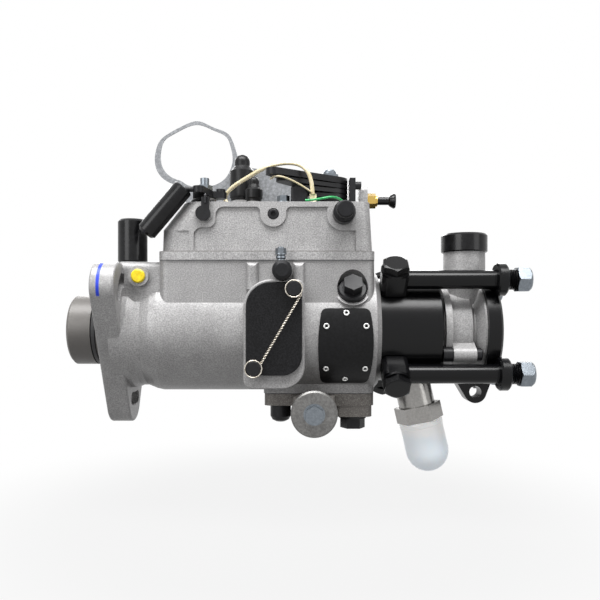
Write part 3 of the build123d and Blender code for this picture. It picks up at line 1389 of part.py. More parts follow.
def distributor_rotor():
    """Rotor with its pumping head, plunger bore and stem through the hydraulic head."""
    rear = head_front_x - 4
    body = turned([(0, tongue_start_x + 0.3), (shaft_radius, tongue_start_x + 0.3),
                   (shaft_radius, rotor_front_x),
                   (rotor_head_radius, rotor_front_x), (rotor_head_radius, rear), (shaft_radius, rear),
                   (shaft_radius, head_rear_x + transfer_gap), (0, head_rear_x + transfer_gap)],
                   direction=(1, 0, 0))
    body -= block((tongue_start_x, -tongue_width / 2 - 0.05, -shaft_radius - 1),
                  (tongue_start_x + tongue_length + 0.1, tongue_width / 2 + 0.05, shaft_radius + 1))
    body -= rod(plunger_radius + running_clearance, (advance_x, 0, -rotor_head_radius),
                (advance_x, 0, rotor_head_radius))
    for side in (-1, 1):
        low = min(side * 10.8, side * (rotor_head_radius + 1))
        high = max(side * 10.8, side * (rotor_head_radius + 1))
        body -= block((advance_x - roller_length / 2 - 0.3, -shoe_width / 2 - 0.2, low),
                      (advance_x + roller_length / 2 + 0.3, shoe_width / 2 + 0.2, high))
    return body


def plunger(turn):
    """Pumping plunger with its shoe and roller, as loose pieces that slide together."""
    pin = rod(plunger_radius, (advance_x, 0, 0.8), (advance_x, 0, 11.0))
    shoe = block((advance_x - roller_length / 2, -shoe_width / 2, 11.0),
                 (advance_x + roller_length / 2, shoe_width / 2, roller_centre))
    shoe -= rod(roller_radius + 0.05, (advance_x - 8, 0, roller_centre), (advance_x + 8, 0, roller_centre))
    roller = rod(roller_radius, (advance_x - roller_length / 2, 0, roller_centre),
                 (advance_x + roller_length / 2, 0, roller_centre))
    return group(*(Rot(turn, 0, 0) * piece for piece in (pin, shoe, roller)))


def transfer_rotor():
    """Vane rotor of the transfer pump on the end of the distributor rotor, with its blades."""
    body = rod(transfer_rotor_radius, (transfer_front_x, 0, 0), (transfer_front_x + transfer_width, 0, 0))
    blades = []
    slot = block((transfer_front_x - 1, -blade_thickness / 2, 6.5),
                 (transfer_front_x + transfer_width + 1, blade_thickness / 2, 20))
    blade = block((transfer_front_x, 0.04 - blade_thickness / 2, 7.2),
                  (transfer_front_x + transfer_width, blade_thickness / 2 - 0.04,
                   transfer_bore_radius - transfer_offset - 0.1))
    for index in range(4):
        turn = Rot(index * 90, 0, 0)
        body -= turn * slot
        blades.append(turn * blade)
    return group(body, *blades)


parts = {
    "pump_housing": pump_housing,
    "seals": seals,
    "port_cap": port_cap,
    "port_plug": port_plug,
    "side_plugs": side_plugs,
    "bleed_screw": bleed_screw,
    "inspection_cover": inspection_cover,
    "inspection_screws": inspection_screws,
    "nameplate": nameplate,
    "governor_cover": governor_cover,
    "cover_gasket": cover_gasket,
    "cover_screws": cover_screws,
    "cover_top_screws": cover_top_screws,
    "screw_caps": screw_caps,
    "brass_fitting": brass_fitting,
    "fitting_plug": fitting_plug,
    "stop_lever": stop_lever,
    "stop_lever_grip": stop_lever_grip,
    "stop_shaft": stop_shaft,
    "throttle_lever": throttle_lever,
    "throttle_shaft": throttle_shaft,
    "control_brackets": control_brackets,
    "cable_tie": cable_tie,
    "green_wire": green_wire,
    "mounting_gasket": mounting_gasket,
    "advance_housing": advance_housing,
    "advance_plugs": advance_plugs,
    "advance_adjust_screw": advance_adjust_screw,
    "advance_bolts": advance_bolts,
    "advance_piston": advance_piston,
    "hydraulic_head": hydraulic_head,
    "banjo_bolts": banjo_bolts,
    "outlet_nuts": outlet_nuts,
    "support_ring": support_ring,
    "end_plate": end_plate,
    "end_plate_screws": end_plate_screws,
    "inlet_cap": inlet_cap,
    "drain_union": drain_union,
    "union_cap": union_cap,
    "drive_shaft": drive_shaft,
    "shaft_bush": shaft_bush,
    "governor_cage": governor_cage,
    "thrust_sleeve": thrust_sleeve,
    "governor_arm": governor_arm,
    "governor_bracket": governor_bracket,
    "linkage_rod": linkage_rod,
    "metering_valve": metering_valve,
    "cam_ring": cam_ring,
    "distributor_rotor": distributor_rotor,
    "transfer_rotor": transfer_rotor,
}


def save(name, shape):
    export_step(shape, f"parts/{name}.step")


os.makedirs("parts", exist_ok=True)
for name, build in parts.items():
    save(name, build())
for index, angle in enumerate(pipe_angles, start=1):
    save(f"delivery_pipe_{index}", delivery_pipe(angle))
for index in range(weight_count):
    save(f"governor_weight_{index + 1}", governor_weight(index))
save("plunger_upper", plunger(0))
save("plunger_lower", plunger(180))
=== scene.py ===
import bpy
import json
import math
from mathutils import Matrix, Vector


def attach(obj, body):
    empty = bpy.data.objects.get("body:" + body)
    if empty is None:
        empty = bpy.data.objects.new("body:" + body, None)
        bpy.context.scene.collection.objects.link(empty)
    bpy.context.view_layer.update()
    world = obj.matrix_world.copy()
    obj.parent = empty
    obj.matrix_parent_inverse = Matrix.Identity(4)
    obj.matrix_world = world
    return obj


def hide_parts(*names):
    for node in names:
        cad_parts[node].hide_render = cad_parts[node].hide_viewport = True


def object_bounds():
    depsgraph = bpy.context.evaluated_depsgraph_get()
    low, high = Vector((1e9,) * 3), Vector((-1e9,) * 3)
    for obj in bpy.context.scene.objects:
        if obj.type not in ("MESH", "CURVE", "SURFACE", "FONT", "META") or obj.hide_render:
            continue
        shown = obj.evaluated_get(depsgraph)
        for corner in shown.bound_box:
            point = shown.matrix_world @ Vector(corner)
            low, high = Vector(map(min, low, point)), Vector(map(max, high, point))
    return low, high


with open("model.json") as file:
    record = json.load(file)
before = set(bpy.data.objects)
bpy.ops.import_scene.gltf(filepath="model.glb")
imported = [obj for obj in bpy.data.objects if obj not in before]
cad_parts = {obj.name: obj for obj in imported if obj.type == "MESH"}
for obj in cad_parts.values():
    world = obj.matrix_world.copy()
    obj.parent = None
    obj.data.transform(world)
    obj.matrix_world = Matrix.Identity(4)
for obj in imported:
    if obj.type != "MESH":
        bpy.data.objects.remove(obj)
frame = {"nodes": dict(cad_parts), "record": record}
cad_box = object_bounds()
nodes = frame["nodes"]

# Pump housing.
# One aluminium casting, blasted after casting, so the surface is an even, fine sparkle without shine.
# The spigot and the mounting face are turned afterwards, and a blue paint line marks the flange as inspected.

grit_mm = 0.75          # 0.3 mm grit, drawn coarser so that its marks show
tool_pitch_mm = 0.604   # feed of the lathe, drawn coarser too
spigot_front = -0.030   # X, ahead of the spigot
mounting_face = 0.0002  # X, just behind the turned face
paint_line_x = (0.0044, 0.0064)
paint_line_z = (0.021, 0.043)
paint_line_y = (-0.026, -0.034)       # it comes in between these, on the near lobe
slot_outer_radius = (0.0505, 0.0510)  # and starts outside the slot, whose walls stay bare


def srgb(code):
    """A hex colour as linear RGBA."""
    parts = [int(code[i:i + 2], 16) / 255 for i in (1, 3, 5)]
    return [c / 12.92 if c <= 0.04045 else ((c + 0.055) / 1.055) ** 2.4 for c in parts] + [1.0]


def add(tree, kind, settings=None, **links):
    """Adds a shader node with its settings and its links.

    A setting is an input's name or number, "stops" for a colour ramp, or a property of the node.
    Colours are hex values. A link's name is the input's, or i and its number.
    """
    new = tree.nodes.new("ShaderNode" + kind)
    for key, value in (settings or {}).items():
        if key == "stops":
            band = new.color_ramp
            while len(band.elements) < len(value):
                band.elements.new(0.5)
            for element, (position, code) in zip(band.elements, value):
                element.position = position
                element.color = srgb(code)
        elif isinstance(key, int) or key in new.inputs:
            new.inputs[key].default_value = srgb(value) if isinstance(value, str) else value
        else:
            setattr(new, key, value)
    for key, source in links.items():
        numbered = key[0] == "i" and key[1:].isdigit()
        tree.links.new(source, new.inputs[int(key[1:]) if numbered else key.replace("_", " ")])
    return new


def finish_material(name, settings):
    """A new material with its shader: the material, its tree, the shader and its object coordinates."""
    material = bpy.data.materials.new(name)
    material.use_nodes = True
    tree = material.node_tree
    tree.nodes.clear()
    shader = add(tree, "BsdfPrincipled", settings)
    add(tree, "OutputMaterial", Surface=shader.outputs["BSDF"])
    return material, tree, shader, add(tree, "TexCoord").outputs["Object"]


def overlap(tree, *masks):
    """Product of masks: 1 only where all of them are."""
    product = masks[0]
    for mask in masks[1:]:
        product = add(tree, "Math", {"operation": "MULTIPLY"}, i0=product, i1=mask).outputs[0]
    return product


def band_mask(tree, value, low, high, soft):
    """1 between low and high, falling to 0 over soft."""
    rise = add(tree, "MapRange", {"interpolation_type": "SMOOTHSTEP",
                                  "From Min": low - soft, "From Max": low + soft}, Value=value)
    fall = add(tree, "MapRange", {"interpolation_type": "SMOOTHSTEP",
                                  "From Min": high - soft, "From Max": high + soft,
                                  "To Min": 1.0, "To Max": 0.0}, Value=value)
    return overlap(tree, rise.outputs[0], fall.outputs[0])


def cast_grain(tree, coordinates, grain_mm, stops):
    """Speckle of a blasted casting under wide, faint clouds: its colour, and its height for the bump."""
    cloud_mm = 16.7
    grain = add(tree, "TexNoise", {"Scale": 1000 / grain_mm, "Detail": 3.0, "Roughness": 0.65},
                Vector=coordinates)
    cloud = add(tree, "TexNoise", {"Scale": 1000 / cloud_mm, "Detail": 4.0, "Roughness": 0.6},
                Vector=coordinates)
    speckle = add(tree, "ValToRGB", {"stops": stops}, Fac=grain.outputs["Fac"])
    shade = add(tree, "ValToRGB", {"stops": [(0.3, "#e8e8e8"), (0.7, "#ffffff")]}, Fac=cloud.outputs["Fac"])
    clouded = add(tree, "Mix", {"data_type": "RGBA", "blend_type": "MULTIPLY", 0: 1.0},
                  i6=speckle.outputs[0], i7=shade.outputs[0])
    return clouded.outputs[2], grain.outputs["Fac"]


def wear(tree, shader, height, gloss=None, relief=None):
    """A grain's height drives the roughness, between gloss, and the bump: relief is strength and depth."""
    if gloss:
        rough = add(tree, "MapRange", {"To Min": gloss[0], "To Max": gloss[1]}, Value=height)
        tree.links.new(rough.outputs[0], shader.inputs["Roughness"])
    if relief:
        bump = add(tree, "Bump", {"Strength": relief[0], "Distance": relief[1]}, Height=height)
        tree.links.new(bump.outputs[0], shader.inputs["Normal"])


def paint(node, material):
    """Gives one CAD node its material."""
    piece = nodes[node]
    piece.data.materials.clear()
    piece.data.materials.append(material)


# Blasted cast aluminium: grey speckle, hardly metallic. The turned parts show brown grey tool rings.
# A wave's Scale is 100 pi over its pitch in millimetres.
blasted, tree, shader, place = finish_material("blasted_cast_aluminium",
                                               {"Metallic": 0.14, "Roughness": 0.46})
colour, height = cast_grain(tree, place, grit_mm, [(0.32, "#848383"), (0.50, "#9b9a9a"), (0.68, "#b5b4b4")])
axes = add(tree, "SeparateXYZ", Vector=place)
rings = add(tree, "TexWave", {"bands_direction": "X", "Scale": 100 * math.pi / tool_pitch_mm,
                              "Distortion": 0.4, "Detail": 2.0}, Vector=place)
steel = add(tree, "ValToRGB", {"stops": [(0.0, "#474543"), (0.5, "#5b5856"), (1.0, "#76736f")]},
            Fac=rings.outputs["Fac"])
turned = band_mask(tree, axes.outputs["X"], spigot_front, mounting_face, 0.0002)
colour = add(tree, "Mix", {"data_type": "RGBA"}, i0=turned, i6=colour, i7=steel.outputs[0]).outputs[2]

near = add(tree, "MapRange", {"From Min": paint_line_y[0], "From Max": paint_line_y[1]},
           Value=axes.outputs["Y"])
across = add(tree, "CombineXYZ", Y=axes.outputs["Y"], Z=axes.outputs["Z"])
radius = add(tree, "VectorMath", {"operation": "LENGTH"}, i0=across.outputs[0])
rim = add(tree, "MapRange", {"From Min": slot_outer_radius[0], "From Max": slot_outer_radius[1]},
          Value=radius.outputs["Value"])
stripe = overlap(tree, band_mask(tree, axes.outputs["X"], *paint_line_x, 0.0003),
                 band_mask(tree, axes.outputs["Z"], *paint_line_z, 0.0005), near.outputs[0], rim.outputs[0])
colour = add(tree, "Mix", {"data_type": "RGBA", 7: "#0f34bc"}, i0=stripe, i6=colour).outputs[2]
tree.links.new(colour, shader.inputs["Base Color"])
wear(tree, shader, height, gloss=(0.34, 0.50), relief=(0.25, 0.0002))
paint("pump_housing", blasted)

# Seals.
# Nitrile rubber: the O-ring in the pilot's groove and the lip seal behind the spigot, both pressed in.
# Dull black, with a trace of dust. Its grain, like most that follow, is drawn coarser than life, so that
# it shows.


def grained_finish(name, settings, grain_mm, stops, noise, gloss=None, relief=None):
    """Material whose colour, roughness and bump all follow one grain, grain_mm wide."""
    material, tree, shader, place = finish_material(name, settings)
    grain = add(tree, "TexNoise", {"Scale": 1000 / grain_mm, **noise}, Vector=place)
    colour = add(tree, "ValToRGB", {"stops": stops}, Fac=grain.outputs["Fac"])
    tree.links.new(colour.outputs[0], shader.inputs["Base Color"])
    wear(tree, shader, grain.outputs["Fac"], gloss, relief)
    return material


nitrile = grained_finish("nitrile_rubber", {"Roughness": 0.55, "IOR": 1.52},
                         grain_mm=1.43, stops=[(0.35, "#141415"), (0.7, "#262628")],
                         noise={"Detail": 3.0})
paint("seals", nitrile)

# Transport caps, plugs and the stop lever's sleeve.
# Soft black polyethylene, moulded and pushed on by hand. It has a moulding's faint sheen, and scuffs
# that are a few millimetres wide.

moulded = grained_finish("moulded_black_polyethylene", {"IOR": 1.5, "Specular IOR Level": 0.26},
                         grain_mm=3.85, stops=[(0.4, "#09090a"), (0.75, "#19191b")],
                         noise={"Detail": 6.0, "Roughness": 0.7}, gloss=(0.12, 0.30), relief=(0.15, 0.0002))
for name in ("port_cap", "inlet_cap", "fitting_plug", "stop_lever_grip"):
    paint(name, moulded)

# Port plug.
# The same polyethylene in yellow, pressed into the port. It lets a little light in, so its edges glow.

yellow = grained_finish("moulded_yellow_polyethylene",
                        {"Roughness": 0.35, "IOR": 1.5, "Subsurface Weight": 0.1,
                         "Subsurface Radius": (0.001, 0.0007, 0.0002)},
                        grain_mm=2.38, stops=[(0.35, "#dcc000"), (0.7, "#f5de18")],
                        noise={"Detail": 3.0})
paint("port_plug", yellow)

# Black screws, plugs, levers and brackets.
# Steel, zinc plated and chromated black. It is satin, with a slightly worn grey bloom on the highs
# and wider patches where the bath took differently.

bloom_mm = 1.11
patch_mm = 11.1
chromate, tree, shader, place = finish_material("black_chromated_steel",
                                                {"IOR": 1.5, "Specular IOR Level": 0.24})
bloom = add(tree, "TexNoise", {"Scale": 1000 / bloom_mm, "Detail": 5.0, "Roughness": 0.7}, Vector=place)
patch = add(tree, "TexNoise", {"Scale": 1000 / patch_mm, "Detail": 3.0}, Vector=place)
bloom_colour = add(tree, "ValToRGB", {"stops": [(0.35, "#0a0a0b"), (0.75, "#252528")]},
                   Fac=bloom.outputs["Fac"])
patch_colour = add(tree, "ValToRGB", {"stops": [(0.3, "#0d0d0e"), (0.7, "#1c1c1f")]},
                   Fac=patch.outputs["Fac"])
colour = add(tree, "Mix", {"data_type": "RGBA", 0: 0.5},
             i6=bloom_colour.outputs[0], i7=patch_colour.outputs[0])
tree.links.new(colour.outputs[2], shader.inputs["Base Color"])
wear(tree, shader, bloom.outputs["Fac"], gloss=(0.26, 0.50), relief=(0.12, 0.0002))
for name in ("side_plugs", "cover_screws", "inspection_screws", "stop_lever", "throttle_lever",
             "control_brackets", "advance_bolts", "end_plate_screws"):
    paint(name, chromate)

# Inspection cover.
# Pressed steel plate, painted black over its plating and held by two screws. The paint dries to a fine
# stipple of 0.4 mm, drawn at twice that so that it shows.

stipple = grained_finish("stippled_black_paint",
                         {"Roughness": 0.36, "IOR": 1.5, "Specular IOR Level": 0.16},
                         grain_mm=0.769, stops=[(0.35, "#0c0c0d"), (0.7, "#202022")],
                         noise={"Detail": 2.0}, relief=(0.25, 0.0003))
paint("inspection_cover", stipple)

# Zinc plated screws, nuts and shafts.
# Cold headed steel with bright zinc: bluish white metal with fine draw marks, drawn coarse enough to show.

zinc = grained_finish("bright_zinc_plate", {"Metallic": 1.0},
                      grain_mm=1.67, stops=[(0.3, "#6a7076"), (0.55, "#7c8288"), (0.8, "#92989e")],
                      noise={"Detail": 6.0, "Roughness": 0.75}, gloss=(0.2, 0.42), relief=(0.1, 0.0002))
for name in ("bleed_screw", "cover_top_screws", "stop_shaft", "throttle_shaft",
             "advance_adjust_screw", "outlet_nuts"):
    paint(name, zinc)

# Seal wire.
# Two strands of galvanised wire, twisted, pass through both screws of the inspection cover and run
# round their heads, so that the cover can't be opened unseen.

screw_one = Vector((0.1221, -0.0472, 0.0256))
screw_two = Vector((0.0977, -0.0472, -0.0227))
strand_radius = 0.00044
lay_radius = 0.00046   # from the twist's axis to a strand's
lay_turns = 13
lay_start = screw_one + Vector((0.0046, 0, -0.0030))
lay_end = screw_two + Vector((0.0044, 0, 0.0030))
loop_wire = 0.00042
loop_radius = 0.0052
loop_turns = 2
loop_back = Vector((0, 0.0004, 0))     # the loops run from here to here on each screw
loop_front = Vector((0, -0.0010, 0))


def clear_selection():
    """Nothing selected, so the next operator acts on its own piece."""
    bpy.ops.object.select_all(action="DESELECT")


def apply_all(piece):
    """Applies a piece's modifiers and its place."""
    clear_selection()
    piece.select_set(True)
    bpy.context.view_layer.objects.active = piece
    for modifier in list(piece.modifiers):
        bpy.ops.object.modifier_apply(modifier=modifier.name)
    bpy.ops.object.transform_apply(location=True, rotation=True, scale=True)


def coil(name, radius, wire, start, end, turns, strands=1):
    """Wire of one or two strands coiled between two points, a round section swept by a screw modifier."""
    section_sides = 8
    steps_in_turn = 14
    clear_selection()
    run = end - start
    bpy.ops.mesh.primitive_circle_add(vertices=section_sides, radius=wire, location=(radius, 0, 0),
                                      rotation=(math.pi / 2, 0, 0))
    piece = bpy.context.object
    piece.name = name
    bpy.ops.object.transform_apply(location=True, rotation=True, scale=True)
    if strands > 1:
        bpy.ops.object.mode_set(mode="EDIT")
        bpy.ops.mesh.select_all(action="SELECT")
        bpy.ops.mesh.duplicate()
        bpy.ops.transform.rotate(value=math.pi, orient_axis="Z", center_override=(0, 0, 0))
        bpy.ops.object.mode_set(mode="OBJECT")
    screw = piece.modifiers.new("wind", "SCREW")
    screw.angle = 2 * math.pi * turns
    screw.screw_offset = run.length
    screw.steps = int(steps_in_turn * turns)
    screw.render_steps = screw.steps
    screw.use_merge_vertices = False
    piece.rotation_euler = run.to_track_quat("Z", "Y").to_euler()
    piece.location = start
    apply_all(piece)
    bpy.ops.object.mode_set(mode="EDIT")
    bpy.ops.mesh.select_all(action="SELECT")
    bpy.ops.mesh.normals_make_consistent(inside=False)
    bpy.ops.object.mode_set(mode="OBJECT")
    bpy.ops.object.shade_smooth()
    return piece


def finish_piece(piece, body, material):
    """Rides a new piece on its body and gives it its material."""
    piece.data.materials.clear()
    piece.data.materials.append(material)
    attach(piece, body)


wire_metal = grained_finish("galvanised_wire", {"Metallic": 1.0, "Roughness": 0.32},
                            grain_mm=2.0, stops=[(0.3, "#8d867b"), (0.7, "#d8d2c8")],
                            noise={"Detail": 4.0})
lay = coil("seal_wire_twist", lay_radius, strand_radius, lay_start, lay_end, lay_turns, strands=2)
finish_piece(lay, "pump", wire_metal)
for index, centre in enumerate((screw_one, screw_two), start=1):
    loops = coil(f"seal_wire_loop_{index}", loop_radius, loop_wire, centre + loop_back, centre + loop_front,
                 loop_turns)
    finish_piece(loops, "pump", wire_metal)

# Name plate.
# Black anodised aluminium sheet rolled to the barrel and left bare: satin, with faint rub marks.

anodised = grained_finish("black_anodised_aluminium", {"Roughness": 0.38, "Specular IOR Level": 0.2},
                          grain_mm=1.92, stops=[(0.4, "#070708"), (0.8, "#1a1a1c")],
                          noise={"Detail": 6.0, "Roughness": 0.75}, relief=(0.08, 0.0002))
paint("nameplate", anodised)

# Name plate's rivets.
# Six tubular rivets of soft aluminium. Each is a short cylinder with a bore sunk in its head and its
# edges rolled over, and the shallow bore's floor is given the plate's black as painted shade of the hole.

rivet_radius = 0.00185
rivet_height = 0.0010
rivet_rim = 0.0009       # from the outside to the bore
bore_depth = 0.0008
rolled_edge = 0.0003
floor_radius = 0.0009    # faces nearer the axis than this, and lower than floor_top, are the bore's floor
floor_top = 0.0003
plate_radius = 0.0406    # outside of the plate, from the drive axis
rivet_rise = 0.0004      # middle of the rivet above the plate
column_x = (0.1420, 0.1543, 0.1664)
rivet_places = ((column_x[1], 0.0110), (column_x[0], 0.0030), (column_x[2], 0.0030),
                (column_x[0], -0.0234), (column_x[2], -0.0234), (column_x[1], -0.0302))

rivet_metal = grained_finish("soft_aluminium", {"Metallic": 1.0, "Roughness": 0.34},
                             grain_mm=1.11, stops=[(0.3, "#b9b9b8"), (0.7, "#f2f2f0")],
                             noise={"Detail": 4.0})
clear_selection()
bpy.ops.mesh.primitive_cylinder_add(vertices=32, radius=rivet_radius, depth=rivet_height)
rivet = bpy.context.object
bpy.ops.object.mode_set(mode="EDIT")
bpy.ops.mesh.select_all(action="DESELECT")
bpy.ops.object.mode_set(mode="OBJECT")
for face in rivet.data.polygons:
    face.select = face.normal.z > 0.9
bpy.ops.object.mode_set(mode="EDIT")
bpy.ops.mesh.inset(thickness=rivet_rim, depth=0.0)
bpy.ops.mesh.extrude_region_move(TRANSFORM_OT_translate={"value": (0, 0, -bore_depth)})
bpy.ops.object.mode_set(mode="OBJECT")
bevel = rivet.modifiers.new("roll", "BEVEL")
bevel.width = rolled_edge
bevel.segments = 3
bevel.limit_method = "ANGLE"
apply_all(rivet)
bpy.ops.object.shade_smooth_by_angle(angle=math.radians(40))
in_bore = [math.hypot(*face.center[:2]) < floor_radius and face.center.z < floor_top
           for face in rivet.data.polygons]
for index, (x, z) in enumerate(rivet_places, start=1):
    turn = math.asin(z / plate_radius)
    out = Vector((0, -math.cos(turn), math.sin(turn)))
    copy = rivet.copy()
    copy.data = rivet.data.copy()
    copy.name = f"nameplate_rivet_{index}"
    bpy.context.collection.objects.link(copy)
    copy.location = Vector((x, 0, 0)) + out * (plate_radius + rivet_rise)
    copy.rotation_euler = out.to_track_quat("Z", "Y").to_euler()
    apply_all(copy)
    finish_piece(copy, "pump", rivet_metal)
    # Painted shade: the bore's floor takes the plate's black, for the dark inside of the hole.
    copy.data.materials.append(anodised)
    for face, inside in zip(copy.data.polygons, in_bore):
        face.material_index = int(inside)
bpy.data.objects.remove(rivet, do_unlink=True)

# Governor cover.
# Die cast aluminium, screwed on over the governor. It is blasted like the housing but has a lighter
# alloy, and a darker band in the corner over its foot is painted shade.

painted_shade_z = (0.0490, 0.0495)
fine_cast, tree, shader, place = finish_material("fine_blasted_die_casting", {"Metallic": 0.2})
colour, height = cast_grain(tree, place, grit_mm, [(0.32, "#848383"), (0.50, "#a1a0a0"), (0.68, "#c1c0c0")])
axes = add(tree, "SeparateXYZ", Vector=place)
# Painted shade: a thin band just over the foot is mixed darker, to #6c6966.
corner = band_mask(tree, axes.outputs["Z"], *painted_shade_z, 0.0002)
colour = add(tree, "Mix", {"data_type": "RGBA", 7: "#6c6966"}, i0=corner, i6=colour).outputs[2]
tree.links.new(colour, shader.inputs["Base Color"])
wear(tree, shader, height, gloss=(0.42, 0.6), relief=(0.3, 0.0003))
paint("governor_cover", fine_cast)

# Gaskets.
# Pressed fibre sheet, cut with a die: the one under the cover, and a spare for the flange that is sent
# with the pump. Matt grey felt with paler strands in it.

felt_mm = 1.67
strand_mm = 2.38
fibre, tree, shader, place = finish_material("pressed_gasket_fibre", {"Roughness": 0.8})
felt = add(tree, "TexNoise", {"Scale": 1000 / felt_mm, "Detail": 6.0, "Roughness": 0.7}, Vector=place)
strand = add(tree, "TexVoronoi", {"feature": "DISTANCE_TO_EDGE", "Scale": 1000 / strand_mm}, Vector=place)
felt_colour = add(tree, "ValToRGB", {"stops": [(0.35, "#717376"), (0.7, "#9c9ea1")]}, Fac=felt.outputs["Fac"])
strand_colour = add(tree, "ValToRGB", {"stops": [(0.0, "#606265"), (0.25, "#8f9194")]},
                    Fac=strand.outputs["Distance"])
colour = add(tree, "Mix", {"data_type": "RGBA", 0: 0.35},
             i6=felt_colour.outputs[0], i7=strand_colour.outputs[0])
tree.links.new(colour.outputs[2], shader.inputs["Base Color"])
wear(tree, shader, felt.outputs["Fac"], relief=(0.3, 0.0002))
paint("mounting_gasket", fibre)
paint("cover_gasket", fibre)

# Screw caps.
# Rubber dipped over a former and pushed over the adjusting screws: dull black, with a soft highlight
# on the domes.

dipped = grained_finish("dipped_rubber", {"Roughness": 0.36, "IOR": 1.52, "Specular IOR Level": 0.22},
                        grain_mm=2.86, stops=[(0.35, "#080809"), (0.75, "#161617")],
                        noise={"Detail": 5.0}, relief=(0.12, 0.0003))
paint("screw_caps", dipped)

# Brass fitting.
# Turned brass screwed into the cover's rear and left bare, with fine tool rings round its axis.

brass_pitch_mm = 0.349
brass, tree, shader, place = finish_material("turned_brass", {"Metallic": 1.0, "Roughness": 0.24})
rings = add(tree, "TexWave", {"bands_direction": "X", "Scale": 100 * math.pi / brass_pitch_mm,
                              "Distortion": 1.0, "Detail": 2.0}, Vector=place)
colour = add(tree, "ValToRGB", {"stops": [(0.0, "#b08a3c"), (1.0, "#e6c878")]}, Fac=rings.outputs["Fac"])
tree.links.new(colour.outputs[0], shader.inputs["Base Color"])
paint("brass_fitting", brass)

# Cable tie.
# Moulded cream nylon: a flat strap pulled round the levers, twisting on its way, and held in a small
# square head. The cut tail sticks out to the left.

strap_points = [(0.1338, -0.0311, 0.0832), (0.1338, -0.0316, 0.0930), (0.1290, -0.0310, 0.1030),
                (0.1186, -0.0270, 0.1066), (0.1046, -0.0240, 0.1044), (0.0946, -0.0165, 0.1006),
                (0.0786, -0.0060, 0.0934), (0.0750, -0.0034, 0.0860), (0.0820, -0.0085, 0.0812),
                (0.1040, -0.0132, 0.0812), (0.1260, -0.0144, 0.0812), (0.1346, -0.0186, 0.0812),
                (0.1344, -0.0296, 0.0814)]
strap_tilts = [1.5] * 4 + [1.4, 1.2] + [1.1] * 7
strap_half_width = 0.00125
tail_points = [(0.1329, -0.0322, 0.0866), (0.1290, -0.0330, 0.0892), (0.1220, -0.0350, 0.0928),
               (0.1150, -0.0376, 0.0951), (0.1108, -0.0372, 0.0955), (0.1090, -0.0345, 0.0954),
               (0.1078, -0.0305, 0.0952)]
tail_tilts = [1.2] * 7
tail_half_width = 0.0008
half_thickness = 0.0005
head_centre = (0.1340, -0.0311, 0.0828)
head_size = (0.0046, 0.0044, 0.0054)
head_wall = 0.0009     # left round the recess in its front and top
head_recess = 0.0007
head_edge = 0.0004


def nurbs_line(name, points, steps, tilts=None):
    """Curve of one open NURBS spline, with the points as its control points."""
    data = bpy.data.curves.new(name, "CURVE")
    data.dimensions = "3D"
    line = data.splines.new("NURBS")
    line.points.add(len(points) - 1)
    for point, where, tilt in zip(line.points, points, tilts or [0.0] * len(points)):
        point.co = (*where, 1)
        point.tilt = tilt
    line.order_u = 3
    line.use_endpoint_u = True
    data.resolution_u = steps
    data.use_fill_caps = True
    piece = bpy.data.objects.new(name, data)
    bpy.context.collection.objects.link(piece)
    return piece


def strap_curve(name, points, half_width, tilts):
    """Band with a rectangular section along a NURBS line, made a mesh."""
    profile = bpy.data.curves.new(name + "_section", "CURVE")
    edge = profile.splines.new("POLY")
    edge.points.add(3)
    for point, (u, v) in zip(edge.points, ((-1, -1), (1, -1), (1, 1), (-1, 1))):
        point.co = (u * half_thickness, v * half_width, 0, 1)
    edge.use_cyclic_u = True
    section = bpy.data.objects.new(name + "_section", profile)
    bpy.context.collection.objects.link(section)
    band = nurbs_line(name, points, 10, tilts)
    band.data.bevel_mode = "OBJECT"
    band.data.bevel_object = section
    clear_selection()
    band.select_set(True)
    bpy.context.view_layer.objects.active = band
    bpy.ops.object.convert(target="MESH")
    bpy.data.objects.remove(section, do_unlink=True)
    return bpy.context.object


nylon = grained_finish("natural_nylon", {"Roughness": 0.38, "IOR": 1.53, "Subsurface Weight": 0.25,
                                         "Subsurface Radius": (0.0012, 0.0010, 0.0007)},
                       grain_mm=4.55, stops=[(0.35, "#c9bd99"), (0.7, "#ded4b8")],
                       noise={"Detail": 3.0})
strap = strap_curve("cable_tie_strap", strap_points, strap_half_width, strap_tilts)
finish_piece(strap, "pump", nylon)
tail = strap_curve("cable_tie_tail", tail_points, tail_half_width, tail_tilts)
finish_piece(tail, "pump", nylon)
clear_selection()
bpy.ops.mesh.primitive_cube_add(size=1, location=head_centre, scale=head_size)
head = bpy.context.object
head.name = "cable_tie_head"
bpy.ops.object.transform_apply(location=True, rotation=True, scale=True)
for face in head.data.polygons:
    face.select = face.normal.y < -0.9 or face.normal.z > 0.9
bpy.ops.object.mode_set(mode="EDIT")
bpy.ops.mesh.inset(thickness=head_wall, depth=-head_recess, use_individual=True)
bpy.ops.object.mode_set(mode="OBJECT")
bevel = head.modifiers.new("edges", "BEVEL")
bevel.width = head_edge
bevel.segments = 2
apply_all(head)
finish_piece(head, "pump", nylon)
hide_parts("cable_tie")

# Green wire.
# A short end of thin wire with green PVC insulation, extruded smooth, that lies on the cover and bends
# round to the capped screw.

wire_route = [(0.1290, -0.0349, 0.08085), (0.1340, -0.03475, 0.0811), (0.1400, -0.0346, 0.0822),
              (0.1460, -0.0330, 0.0836), (0.1510, -0.0275, 0.0832), (0.1550, -0.0195, 0.0816),
              (0.1565, -0.0125, 0.08095)]
wire_radius = 0.00075


def wire_curve(name, points, radius):
    """Round wire along a NURBS line."""
    wire = nurbs_line(name, points, 12)
    wire.data.bevel_depth = radius
    wire.data.bevel_resolution = 4
    return wire


pvc = grained_finish("green_pvc_insulation", {"Roughness": 0.3, "IOR": 1.53},
                     grain_mm=1.67, stops=[(0.35, "#0f8a45"), (0.7, "#22b060")],
                     noise={"Detail": 2.0})
wire = wire_curve("green_wire_line", wire_route, wire_radius)
finish_piece(wire, "pump", pvc)
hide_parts("green_wire")

# Spring at the stop lever.
# Black, oiled spring steel, coiled cold: a little over two open turns round the lever's stud, under the
# plate, with a leg hooked over the anchor on the front cover screw.

